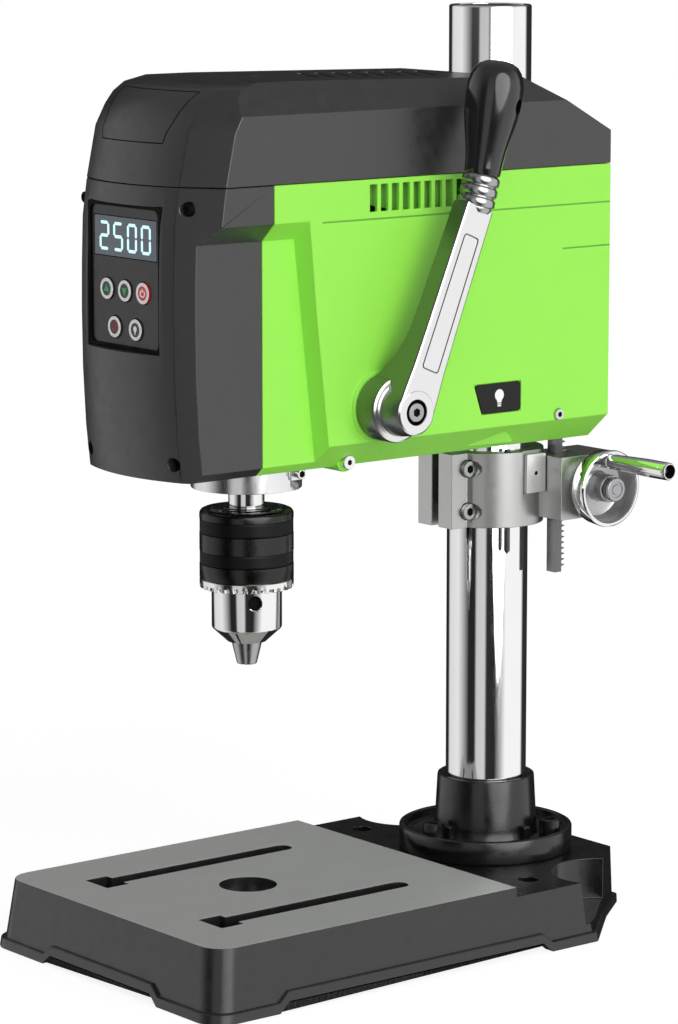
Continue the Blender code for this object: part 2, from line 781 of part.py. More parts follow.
WHEEL_RADIUS = 0.0195
WHEEL_RIM = 0.003
WHEEL_WEB = 0.003
WHEEL_DEPTH = 0.015
WHEEL_HUB_RADIUS = 0.0075
CRANK_NUT_RADIUS = 0.0068
CRANK_NUT_HEIGHT = 0.004
GRIP_OFFSET = 0.0152
GRIP_BOSS_RADIUS = 0.0042
GRIP_RADIUS = 0.0049
GRIP_NECK_RADIUS = 0.0042
GRIP_BORE = 0.0030
GRIP_PIN_RADIUS = 0.0024
GRIP_LENGTH = 0.0460
GRIP_PIN_SHORT = 0.004

WHEEL_BACK_X = HOUSING_OUTER_X + GAP * 2
WHEEL_FRONT_X = WHEEL_BACK_X + WHEEL_DEPTH
GRIP_Z = CRANK_Z + GRIP_OFFSET


def make_crank():
    axis_point = (0, CRANK_Y, CRANK_Z)
    shaft_start = HOUSING_INNER_X + OVERRUN
    shaft_end = WHEEL_FRONT_X
    shaft = rod(
        CRANK_SHAFT_RADIUS, (shaft_start, CRANK_Y, CRANK_Z), shaft_end - shaft_start, axis="X"
    )
    teeth = gear_outline(
        (CRANK_Y, CRANK_Z), LIFT_TEETH, LIFT_PITCH_RADIUS, LIFT_ADDENDUM, LIFT_DEDENDUM, 0
    )
    pinion = plate(teeth, "YZ", LIFT_RACK_X, LIFT_RACK_X + LIFT_RACK_WIDTH)
    join(shaft, pinion)
    hub = WHEEL_HUB_RADIUS
    bore = CRANK_SHAFT_RADIUS + GAP
    wheel = turned(
        [
            (hub, WHEEL_DEPTH),
            (hub, WHEEL_WEB),
            (WHEEL_RADIUS - WHEEL_RIM, WHEEL_WEB),
            (WHEEL_RADIUS - WHEEL_RIM, WHEEL_DEPTH),
            (WHEEL_RADIUS, WHEEL_DEPTH),
            (WHEEL_RADIUS, 0),
            (bore, 0),
            (bore, WHEEL_DEPTH),
        ],
        (WHEEL_BACK_X, CRANK_Y, CRANK_Z),
        axis="X",
    )
    boss_bottom = WHEEL_BACK_X + WHEEL_WEB - JOIN
    boss = rod(
        GRIP_BOSS_RADIUS, (boss_bottom, CRANK_Y, GRIP_Z), WHEEL_FRONT_X - boss_bottom, axis="X", sides=COARSE
    )
    join(wheel, boss)
    pin_start = WHEEL_BACK_X + GAP
    cut(
        wheel,
        rod(
            GRIP_PIN_RADIUS + GAP,
            (WHEEL_BACK_X - OVERRUN, CRANK_Y, GRIP_Z),
            WHEEL_DEPTH + 2 * OVERRUN,
            axis="X",
            sides=COARSE,
        ),
    )
    pin = rod(
        GRIP_PIN_RADIUS,
        (pin_start, CRANK_Y, GRIP_Z),
        WHEEL_DEPTH + GRIP_LENGTH - GRIP_PIN_SHORT,
        axis="X",
        sides=COARSE,
    )
    grip = turned(
        [
            (GRIP_RADIUS, GRIP_LENGTH),
            (GRIP_RADIUS, GRIP_LENGTH / 2),
            (GRIP_NECK_RADIUS, 0),
            (GRIP_BORE, 0),
            (GRIP_BORE, GRIP_LENGTH),
        ],
        (WHEEL_FRONT_X + GAP, CRANK_Y, GRIP_Z),
        axis="X",
        sides=MEDIUM,
    )
    nut_start = WHEEL_FRONT_X + GAP
    nut = rod(CRANK_NUT_RADIUS, (nut_start, CRANK_Y, CRANK_Z), CRANK_NUT_HEIGHT, axis="X")
    crank = [
        piece(shaft, "crank_shaft", "steel", axis_point),
        piece(wheel, "crank_wheel", "chrome", axis_point),
        piece(nut, "crank_nut", "steel", axis_point),
        piece(pin, "crank_grip_pin", "steel"),
    ]
    handle = [piece(grip, "crank_grip", "chrome", (0, CRANK_Y, GRIP_Z))]
    body("crank", crank, axis_point)
    body("crank_handle", handle, (0, CRANK_Y, GRIP_Z))
    return crank + handle


# Head casing: one outer form, split into two side shells, a front cover and a top cover

SHELL_WALL = 0.0025
TOP_SEAM_SHARE = 0.746
SEAM_OVER_FITTINGS = 0.1507
FRONT_SEAM_BEFORE = 0.027
BEVEL_SHARE = 0.068
BOTTOM_HALF_WIDTH = 0.044
TOP_HALF_WIDTH = 0.048
TOP_CHAMFER_SHARE = 0.08
FRONT_HALF_WIDTH = 0.0403
FRONT_BULGE = 0.0076
FRONT_CHAMFER = 0.0150
BULGE_POINTS = 7
PROFILE_SHARES = (
    (0.0, 0.052),
    (0.11, 0.023),
    (0.26, 0.004),
    (0.41, 0.0),
    (0.53, 0.004),
    (0.65, 0.014),
    (0.75, 0.049),
    (0.81, 0.081),
    (0.88, 0.117),
    (0.93, 0.185),
    (0.96, 0.244),
    (0.985, 0.333),
    (1.0, 0.50),
)
REAR_SLOPE_SHARE = 0.835
REAR_TOP_SHARE = 0.985
REAR_SLOPE_LENGTH = 0.056
WAIST_HALF_WIDTH = 0.0495
LEDGE_SHARE = 0.649
LEDGE_FALL = 0.0095
FACET_TOP_Y_SHARE = 0.27
FACET_BOTTOM_Y_SHARE = 0.33
FACET_SLANT = 0.0025
WAIST_MARGIN = 0.030

HEAD_HALF = HEAD_WIDTH / 2
HEAD_LENGTH = HEAD_REAR - HEAD_FRONT
TOP_SEAM = HEAD_BOTTOM + TOP_SEAM_SHARE * HEAD_HEIGHT
FITTINGS_FOOT = TOP_SEAM - SEAM_OVER_FITTINGS
FRONT_SEAM = SPINDLE_Y - FRONT_SEAM_BEFORE


def head_plan(height, setback, inset):
    """The head's outline at a height, its bulging front moved back by a setback."""
    front = HEAD_FRONT + setback + inset
    face_half = FRONT_HALF_WIDTH - inset / 2
    half = HEAD_HALF - inset
    plan = []
    for i in range(BULGE_POINTS):
        share = i / (BULGE_POINTS - 1)
        plan.append((face_half * share, front + FRONT_BULGE * share * share))
    plan.append((half, front + FRONT_BULGE + FRONT_CHAMFER))
    plan.append((half, HEAD_REAR - inset))
    return [(x, y, height) for x, y in plan + mirrored_x(plan)[:-1]]


def head_form(inset):
    """The whole head as one solid, drawn in all round by an inset."""
    rear = HEAD_REAR - inset
    bottom, top = HEAD_BOTTOM + inset, HEAD_TOP - inset
    half = HEAD_HALF - inset
    levels = []
    for rise, share in PROFILE_SHARES:
        levels.append(head_plan(between(bottom, top, rise), share * HEAD_BEFORE_SPINDLE, inset))
    form = loft(*levels)
    ahead = HEAD_FRONT - OVERRUN
    side_view = [
        (ahead, HEAD_BOTTOM - OVERRUN),
        (ahead, HEAD_TOP + OVERRUN),
        (SPINDLE_Y, HEAD_TOP + OVERRUN),
        (SPINDLE_Y, top),
        (rear - REAR_SLOPE_LENGTH, between(bottom, top, REAR_TOP_SHARE)),
        (rear, between(bottom, top, REAR_SLOPE_SHARE)),
        (rear + OVERRUN, between(bottom, top, REAR_SLOPE_SHARE)),
        (rear + OVERRUN, HEAD_BOTTOM - OVERRUN),
    ]
    section = [
        (BOTTOM_HALF_WIDTH - inset, bottom),
        (half, bottom + BEVEL_SHARE * HEAD_HEIGHT),
        (half, top - TOP_CHAMFER_SHARE * HEAD_HEIGHT),
        (TOP_HALF_WIDTH - inset / 2, top),
    ]
    common(
        form,
        plate(side_view, "YZ", -HEAD_HALF - OVERRUN, HEAD_HALF + OVERRUN),
        plate(section + mirrored_x(section), "XZ", HEAD_FRONT - OVERRUN, HEAD_REAR + OVERRUN),
    )
    cut(form, waist_cutter(1, inset), waist_cutter(-1, inset))
    return form


def waist_cutter(side, inset):
    """What is missing from the full width low on the front of each side."""
    near = WAIST_HALF_WIDTH - inset
    far = HEAD_HALF + WAIST_MARGIN
    ledge = HEAD_BOTTOM + LEDGE_SHARE * HEAD_HEIGHT - LEDGE_FALL + inset
    slope = LEDGE_FALL / (HEAD_HALF - WAIST_HALF_WIDTH)
    slant = FACET_SLANT / (HEAD_HALF - WAIST_HALF_WIDTH)
    low = HEAD_BOTTOM - WAIST_MARGIN
    front = HEAD_FRONT - WAIST_MARGIN
    top_y = HEAD_FRONT + FACET_TOP_Y_SHARE * HEAD_LENGTH + inset
    bottom_y = HEAD_FRONT + FACET_BOTTOM_Y_SHARE * HEAD_LENGTH + inset
    reach = far - near
    far_y = bottom_y + slant * reach
    lower = [(near, front, low), (near, bottom_y, low), (far, far_y, low), (far, front, low)]
    upper = [
        (near, front, ledge),
        (near, top_y, ledge),
        (far, top_y + slant * reach, ledge + slope * reach),
        (far, front, ledge + slope * reach),
    ]
    if side < 0:
        lower = [(-x, y, z) for x, y, z in reversed(lower)]
        upper = [(-x, y, z) for x, y, z in reversed(upper)]
    return loft(lower, upper)


# Openings and fittings of the casing

COLLAR_RADIUS = 0.0295
COLLAR_BELOW_HEAD = 0.0134
FEED_Y_BEHIND = 0.042
FEED_RISE = 0.032
HUB_HOLE_RADIUS = 0.0095
HUB_RING_RADIUS = 0.0190
HUB_RING_HEIGHT = 0.0015
VENT_COUNT = 9
VENT_PITCH = 0.0073
VENT_WIDTH = 0.0048
VENT_HEIGHT = 0.014
VENT_BEHIND = 0.0354
VENT_RISE = 0.1337
LOUVRE_COUNT = 8
LOUVRE_PITCH = 0.0115
LOUVRE_WIDTH = 0.0035
LOUVRE_LENGTH = 0.052
LOUVRE_START = 0.042
LOUVRE_ANGLE = math.radians(-26)
TOP_SCREW_HOLE = 0.0040
TOP_SCREW_BEHIND = 0.007
LIGHT_PLATE_LENGTH = 0.0325
LIGHT_PLATE_HEIGHT = 0.0158
LIGHT_PLATE_SLANT = 0.0055
LIGHT_PLATE_THICKNESS = 0.0010
LIGHT_PLATE_BEHIND = 0.1068
LIGHT_PLATE_RISE = 0.0214
SHELL_SCREW_BEHIND = 0.1667
SHELL_SCREW_RISE = 0.0167
SHELL_SCREW_RADIUS = 0.0019
SHELL_SCREW_HEAD = 0.0030
SHELL_SCREW_HEAD_HEIGHT = 0.0022
SHELL_SCREW_LENGTH = 0.012
FRONT_BOSS_BEHIND = 0.029
FRONT_BOSS_RISE = 0.0025
FRONT_BOSS_RADIUS = 0.0055
FRONT_BOSS_X = 0.030
FRONT_BOSS_END_X = 0.0475
COVER_SCREW_RADIUS = 0.0018
COVER_SCREW_HEAD = 0.0030
COVER_SCREW_HEAD_HEIGHT = 0.0022
COVER_SCREW_LENGTH = 0.016
COVER_HOLE_RADIUS = 0.0037
COVER_HOLE_DEPTH = 0.008
COVER_BOSS_WALL = 0.0018
COVER_UPPER_X = 0.0450
COVER_LOWER_X = 0.0365
COVER_UPPER_RISE = 0.140
COVER_LOWER_RISE = 0.0095
RECESS_HALF_WIDTH = 0.0315
RECESS_LOW = 0.0653
RECESS_HIGH = 0.1403
PANEL_SETBACK = 0.0070
PANEL_THICKNESS = 0.0025
DISPLAY_HALF_WIDTH = 0.027
DISPLAY_LOW = 0.1125
DISPLAY_HIGH = 0.1330
DISPLAY_THICKNESS = 0.0015
BUTTON_RADIUS = 0.0056
BUTTON_HEIGHT = 0.0030
BUTTON_PROUD = 0.0010
BOARD_GAP = 0.0035
BOARD_MARGIN = 0.002
BOARD_THICKNESS = 0.0016
STUD_RADIUS = 0.0018
STUD_INSET = 0.0048
FRONT_SCREW_HEAD = 0.0037
FRONT_SCREW_HEAD_HEIGHT = 0.0035
UPPER_BUTTON_PITCH = 0.0157
UPPER_BUTTON_RISE = 0.0955
LOWER_BUTTON_PITCH = 0.0184
LOWER_BUTTON_RISE = 0.0762
BUTTONS = {
    "button_speed_up": (-UPPER_BUTTON_PITCH, UPPER_BUTTON_RISE, "button_dark"),
    "button_speed_down": (0, UPPER_BUTTON_RISE, "button_dark"),
    "button_power": (UPPER_BUTTON_PITCH, UPPER_BUTTON_RISE, "button_red"),
    "button_start": (-LOWER_BUTTON_PITCH / 2, LOWER_BUTTON_RISE, "button_red"),
    "button_light": (LOWER_BUTTON_PITCH / 2, LOWER_BUTTON_RISE, "button_dark"),
}

FEED_Y = SPINDLE_Y + FEED_Y_BEHIND
FEED_Z = HEAD_BOTTOM + FEED_RISE
PANEL_FACE_Y = HEAD_FRONT + PANEL_SETBACK
COLUMN_HOLE = COLUMN_RADIUS + 2 * GAP


def rack_passage():
    """The opening in the head's bottom that the lift rack passes through."""
    margin = 2 * GAP
    return block(
        (LIFT_RACK_X - margin, LIFT_RACK_BACK_Y - margin, HEAD_BOTTOM - OVERRUN),
        (LIFT_RACK_X + LIFT_RACK_WIDTH + margin, LIFT_RACK_TIP_Y + margin, HEAD_BOTTOM + 2 * SHELL_WALL),
    )


def vent_cutters(side):
    cutters = []
    low = FITTINGS_FOOT + VENT_RISE
    for number in range(VENT_COUNT):
        start = SPINDLE_Y + VENT_BEHIND + number * VENT_PITCH
        inner = side * (HEAD_HALF - 2 * SHELL_WALL)
        outer = side * (HEAD_HALF + OVERRUN)
        cutters.append(
            block(
                (min(inner, outer), start, low),
                (max(inner, outer), start + VENT_WIDTH, low + VENT_HEIGHT),
            )
        )
    return cutters


def make_side_shell(side, name):
    shell = head_form(0)
    seam = GAP / 2
    far = HEAD_HALF + OVERRUN
    region_x = (seam, far) if side > 0 else (-far, -seam)
    region = block(
        (region_x[0], FRONT_SEAM + seam, HEAD_BOTTOM - OVERRUN),
        (region_x[1], HEAD_REAR + OVERRUN, TOP_SEAM - seam),
    )
    common(shell, region)
    extras = []
    if side > 0:
        extras.append(
            rod(
                HUB_RING_RADIUS,
                (HEAD_HALF - SHELL_WALL + JOIN, FEED_Y, FEED_Z),
                SHELL_WALL - JOIN + HUB_RING_HEIGHT,
                axis="X",
                sides=FINE,
            )
        )
    boss_start = min(side * FRONT_BOSS_X, side * FRONT_BOSS_END_X)
    boss_y = SPINDLE_Y + FRONT_BOSS_BEHIND
    boss_z = HEAD_BOTTOM + FRONT_BOSS_RISE
    hollow = head_form(SHELL_WALL)
    extras.append(
        rod(
            FRONT_BOSS_RADIUS,
            (boss_start, boss_y, boss_z),
            FRONT_BOSS_END_X - FRONT_BOSS_X,
            axis="X",
            sides=COARSE,
        )
    )
    cut(shell, hollow)
    join(shell, *extras)
    low = HEAD_BOTTOM - 2 * FRONT_BOSS_RADIUS
    holes = [
        rod(COLUMN_HOLE, (0, COLUMN_Y, low), HEAD_HEIGHT / 2, sides=FINE),
        rod(COLLAR_RADIUS + GAP, (0, SPINDLE_Y, low), HEAD_HEIGHT / 2, sides=FINE),
        rod(
            SHELL_SCREW_RADIUS + GAP,
            (-far, boss_y, boss_z),
            2 * far,
            axis="X",
            sides=COARSE,
        ),
        *vent_cutters(side),
    ]
    rear_screw = (SPINDLE_Y + SHELL_SCREW_BEHIND, HEAD_BOTTOM + SHELL_SCREW_RISE)
    holes.append(rod(SHELL_SCREW_RADIUS + GAP, (-far, *rear_screw), 2 * far, axis="X", sides=COARSE))
    if side > 0:
        holes.append(rack_passage())
        holes.append(rod(HUB_HOLE_RADIUS, (HEAD_HALF / 2, FEED_Y, FEED_Z), HEAD_HALF, axis="X"))
        front_head = (FRONT_BOSS_END_X, boss_y, boss_z)
        holes.append(rod(FRONT_SCREW_HEAD + GAP, front_head, HEAD_HALF, axis="X", sides=COARSE))
        holes.append(light_plate_shape(GAP, HEAD_HALF - LIGHT_PLATE_THICKNESS - GAP, HEAD_HALF + OVERRUN))
        holes.append(
            rod(
                SHELL_SCREW_HEAD + GAP,
                (HEAD_HALF - SHELL_SCREW_HEAD_HEIGHT + JOIN, *rear_screw),
                SHELL_SCREW_HEAD_HEIGHT + OVERRUN,
                axis="X",
                sides=COARSE,
            )
        )
    cut(shell, *holes)
    return piece(shell, name, "green_plastic")


def light_plate_shape(margin, low_x, high_x):
    start = SPINDLE_Y + LIGHT_PLATE_BEHIND - margin
    end = start + LIGHT_PLATE_LENGTH + 2 * margin
    bottom = HEAD_BOTTOM + LIGHT_PLATE_RISE - margin
    top = bottom + LIGHT_PLATE_HEIGHT + 2 * margin
    outline = [(start + LIGHT_PLATE_SLANT, bottom), (end, bottom), (end, top), (start, top)]
    return plate(outline, "YZ", low_x, high_x)


def make_front_cover():
    cover = head_form(0)
    seam = GAP / 2
    region = block(
        (-HEAD_HALF - OVERRUN, HEAD_FRONT - OVERRUN, HEAD_BOTTOM - OVERRUN),
        (HEAD_HALF + OVERRUN, FRONT_SEAM - seam, TOP_SEAM - seam),
    )
    common(cover, region)
    hollow = head_form(SHELL_WALL)
    cut(cover, hollow)
    recess = block(
        (-RECESS_HALF_WIDTH, HEAD_FRONT - OVERRUN, FITTINGS_FOOT + RECESS_LOW),
        (RECESS_HALF_WIDTH, HEAD_FRONT + 4 * PANEL_SETBACK, FITTINGS_FOOT + RECESS_HIGH),
    )
    frame_half = RECESS_HALF_WIDTH + SHELL_WALL
    surround = block(
        (-frame_half, HEAD_FRONT + JOIN, FITTINGS_FOOT + RECESS_LOW - SHELL_WALL),
        (frame_half, PANEL_FACE_Y + PANEL_THICKNESS, FITTINGS_FOOT + RECESS_HIGH + SHELL_WALL),
    )
    bosses, holes = [surround], [recess]
    for x, z in cover_screw_places():
        start = HEAD_FRONT + FRONT_BULGE + JOIN
        length = COVER_HOLE_DEPTH + COVER_BOSS_WALL
        bosses.append(
            rod(COVER_HOLE_RADIUS + COVER_BOSS_WALL, (x, start, z), length, axis="Y", sides=COARSE)
        )
        holes.append(
            rod(COVER_HOLE_RADIUS, (x, HEAD_FRONT - OVERRUN, z), seat_depth(), axis="Y", sides=COARSE)
        )
        holes.append(
            rod(COVER_SCREW_RADIUS + GAP, (x, HEAD_FRONT, z), 4 * COVER_HOLE_DEPTH, axis="Y", sides=COARSE)
        )
    boss_bound = head_form(JOIN)
    for boss in bosses:
        common(boss, boss_bound)
    join(cover, *bosses)
    holes.append(
        rod(COLLAR_RADIUS + GAP, (0, SPINDLE_Y, HEAD_BOTTOM - OVERRUN), HEAD_HEIGHT / 2, sides=FINE)
    )
    cut(cover, *holes)
    return piece(cover, "front_cover", "black_plastic")


def seat_depth():
    return OVERRUN + FRONT_BULGE + COVER_HOLE_DEPTH


def cover_screw_places():
    places = []
    for side in (-1, 1):
        places.append((side * COVER_UPPER_X, FITTINGS_FOOT + COVER_UPPER_RISE))
        places.append((side * COVER_LOWER_X, HEAD_BOTTOM + COVER_LOWER_RISE))
    return places


def make_cover_screws():
    screws = []
    seat_y = HEAD_FRONT + FRONT_BULGE + COVER_HOLE_DEPTH - GAP
    for number, (x, z) in enumerate(cover_screw_places(), start=1):
        screw = cap_screw(
            COVER_SCREW_HEAD,
            COVER_SCREW_HEAD_HEIGHT,
            COVER_SCREW_RADIUS,
            COVER_SCREW_LENGTH,
            (x, seat_y, z),
            "Y",
            head_first=False,
        )
        screws.append(piece(screw, f"cover_screw_{number}", "dark_steel"))
    return screws


def make_top_cover():
    cover = head_form(0)
    region = block(
        (-HEAD_HALF - OVERRUN, HEAD_FRONT - OVERRUN, TOP_SEAM + GAP / 2),
        (HEAD_HALF + OVERRUN, HEAD_REAR + OVERRUN, HEAD_TOP + OVERRUN),
    )
    common(cover, region)
    cut(cover, head_form(SHELL_WALL))
    holes = [
        rod(COLUMN_HOLE, (0, COLUMN_Y, TOP_SEAM), HEAD_HEIGHT, sides=FINE),
        rod(
            TOP_SCREW_HOLE,
            (0, SPINDLE_Y + TOP_SCREW_BEHIND, HEAD_TOP - 2 * SHELL_WALL),
            2 * SHELL_WALL + OVERRUN,
            sides=COARSE,
        ),
    ]
    for number in range(LOUVRE_COUNT):
        slot = block(
            (-LOUVRE_LENGTH / 2, -LOUVRE_WIDTH / 2, -2 * SHELL_WALL),
            (LOUVRE_LENGTH / 2, LOUVRE_WIDTH / 2, OVERRUN),
        )
        place = Vector((0, SPINDLE_Y + LOUVRE_START + number * LOUVRE_PITCH, HEAD_TOP))
        slot.data.transform(Matrix.Translation(place) @ Matrix.Rotation(LOUVRE_ANGLE, 4, "Z"))
        holes.append(slot)
    cut(cover, *holes)
    return piece(cover, "top_cover", "black_plastic")


def make_panel():
    low, high = FITTINGS_FOOT + RECESS_LOW, FITTINGS_FOOT + RECESS_HIGH
    half = RECESS_HALF_WIDTH - GAP
    panel = block((-half, PANEL_FACE_Y, low + GAP), (half, PANEL_FACE_Y + PANEL_THICKNESS, high - GAP))
    window_back = PANEL_FACE_Y + DISPLAY_THICKNESS + GAP
    holes = [
        block(
            (-DISPLAY_HALF_WIDTH - GAP, PANEL_FACE_Y - OVERRUN, FITTINGS_FOOT + DISPLAY_LOW - GAP),
            (DISPLAY_HALF_WIDTH + GAP, window_back, FITTINGS_FOOT + DISPLAY_HIGH + GAP),
        )
    ]
    for name, (x, rise, material) in BUTTONS.items():
        z = FITTINGS_FOOT + rise
        holes.append(
            rod(
                BUTTON_RADIUS + GAP,
                (x, PANEL_FACE_Y - OVERRUN, z),
                PANEL_THICKNESS + 2 * OVERRUN,
                axis="Y",
            )
        )
        at = (x, PANEL_FACE_Y - BUTTON_PROUD, z)
        button = rod(BUTTON_RADIUS, at, BUTTON_HEIGHT, axis="Y")
        body(name + "_travel", [piece(button, name, material, at)], at)
    cut(panel, *holes)
    window = block(
        (-DISPLAY_HALF_WIDTH, PANEL_FACE_Y, FITTINGS_FOOT + DISPLAY_LOW),
        (DISPLAY_HALF_WIDTH, PANEL_FACE_Y + DISPLAY_THICKNESS, FITTINGS_FOOT + DISPLAY_HIGH),
    )
    board_y = PANEL_FACE_Y + PANEL_THICKNESS + BOARD_GAP
    board = block(
        (-half + BOARD_MARGIN, board_y, low + BOARD_MARGIN),
        (half - BOARD_MARGIN, board_y + BOARD_THICKNESS, high - BOARD_MARGIN),
    )
    studs = []
    for side in (-1, 1):
        for height in (low + STUD_INSET, high - STUD_INSET):
            at = (side * (half - STUD_INSET), PANEL_FACE_Y + PANEL_THICKNESS + GAP, height)
            studs.append(rod(STUD_RADIUS, at, BOARD_GAP, axis="Y", sides=COARSE))
    join(board, *studs)
    return [
        piece(panel, "control_panel", "panel_black"),
        piece(window, "display_window", "display_glass"),
        piece(board, "control_board", "board_green"),
    ]


def make_casing():
    light_plate = light_plate_shape(0, HEAD_HALF - LIGHT_PLATE_THICKNESS, HEAD_HALF)
    rear_screw = cap_screw(
        SHELL_SCREW_HEAD,
        SHELL_SCREW_HEAD_HEIGHT,
        SHELL_SCREW_RADIUS,
        SHELL_SCREW_LENGTH,
        (
            HEAD_HALF - SHELL_SCREW_HEAD_HEIGHT + JOIN + GAP,
            SPINDLE_Y + SHELL_SCREW_BEHIND,
            HEAD_BOTTOM + SHELL_SCREW_RISE,
        ),
        "X",
    )
    front_screw = cap_screw(
        FRONT_SCREW_HEAD,
        FRONT_SCREW_HEAD_HEIGHT,
        SHELL_SCREW_RADIUS,
        FRONT_BOSS_END_X - FRONT_BOSS_X,
        (FRONT_BOSS_END_X + GAP, SPINDLE_Y + FRONT_BOSS_BEHIND, HEAD_BOTTOM + FRONT_BOSS_RISE),
        "X",
    )
    return [
        make_side_shell(1, "right_shell"),
        make_side_shell(-1, "left_shell"),
        make_front_cover(),
        make_top_cover(),
        piece(light_plate, "lighting_plate", "panel_black"),
        piece(rear_screw, "shell_screw_rear", "steel"),
        piece(front_screw, "shell_screw_front", "steel"),
        *make_cover_screws(),
        *make_panel(),
    ]


# Head frame: the casting inside the casing that holds quill, column guide and motor

QUILL_RADIUS = 0.022
GUIDE_RADIUS = 0.030
GUIDE_BELOW = 0.0040
PLATE_LOW_RISE = 0.118
PLATE_THICKNESS = 0.005
PLATE_HALF_WIDTH = 0.034
CHEEK_INNER_X = 0.008
CHEEK_OUTER_X = 0.0145
CHEEK_LOW_RISE = 0.005
CHEEK_HIGH_RISE = 0.056
FEED_BOSS_RADIUS = 0.011
FEED_BOSS_REACH = 0.038
FEED_SHAFT_RADIUS = 0.006
FEED_TEETH = 32
FEED_PITCH_RADIUS = 0.0216
FEED_ADDENDUM = 0.0009
FEED_DEDENDUM = 0.0013
FEED_HALF_WIDTH = 0.005
RACK_LUG_THICKNESS = 0.010
RACK_LUG_LOW = 0.012
RACK_LUG_HIGH = 0.058
MOTOR_BEHIND = 0.092
MOTOR_RADIUS = 0.033
MOTOR_SHAFT_HOLE = 0.0085
PULLEY_HUB_RADIUS = 0.0115
CLAMP_LUG_LENGTH = 0.0055
CLAMP_LUG_HALF = 0.0048
COLLAR_SCREW_BEHIND = 0.0115
COLLAR_SCREW_DROP = 0.0042
COLLAR_SCREW_RADIUS = 0.0013
COLLAR_SCREW_HEAD = 0.0027
COLLAR_SCREW_HEAD_HEIGHT = 0.0030
COLLAR_SCREW_LENGTH = 0.0060
LENS_WIDTH = 0.020
LENS_LENGTH = 0.008
LENS_THICKNESS = 0.0020
LENS_BEHIND = 0.040

COLLAR_BOTTOM = HEAD_BOTTOM - COLLAR_BELOW_HEAD
PLATE_LOW = HEAD_BOTTOM + PLATE_LOW_RISE
PLATE_TOP = PLATE_LOW + PLATE_THICKNESS
MOTOR_Y = SPINDLE_Y + MOTOR_BEHIND
FEED_RACK_TIP_Y = FEED_Y - FEED_PITCH_RADIUS + FEED_ADDENDUM
FEED_RACK_ROOT_Y = FEED_Y - FEED_PITCH_RADIUS - FEED_DEDENDUM
COLLAR_SCREW_Y = SPINDLE_Y + COLLAR_SCREW_BEHIND
COLLAR_SCREW_Z = HEAD_BOTTOM - COLLAR_SCREW_DROP


def collar_side_x():
    """Where the collar's round surface lies at the clamp screw."""
    return math.sqrt(COLLAR_RADIUS**2 - COLLAR_SCREW_BEHIND**2)


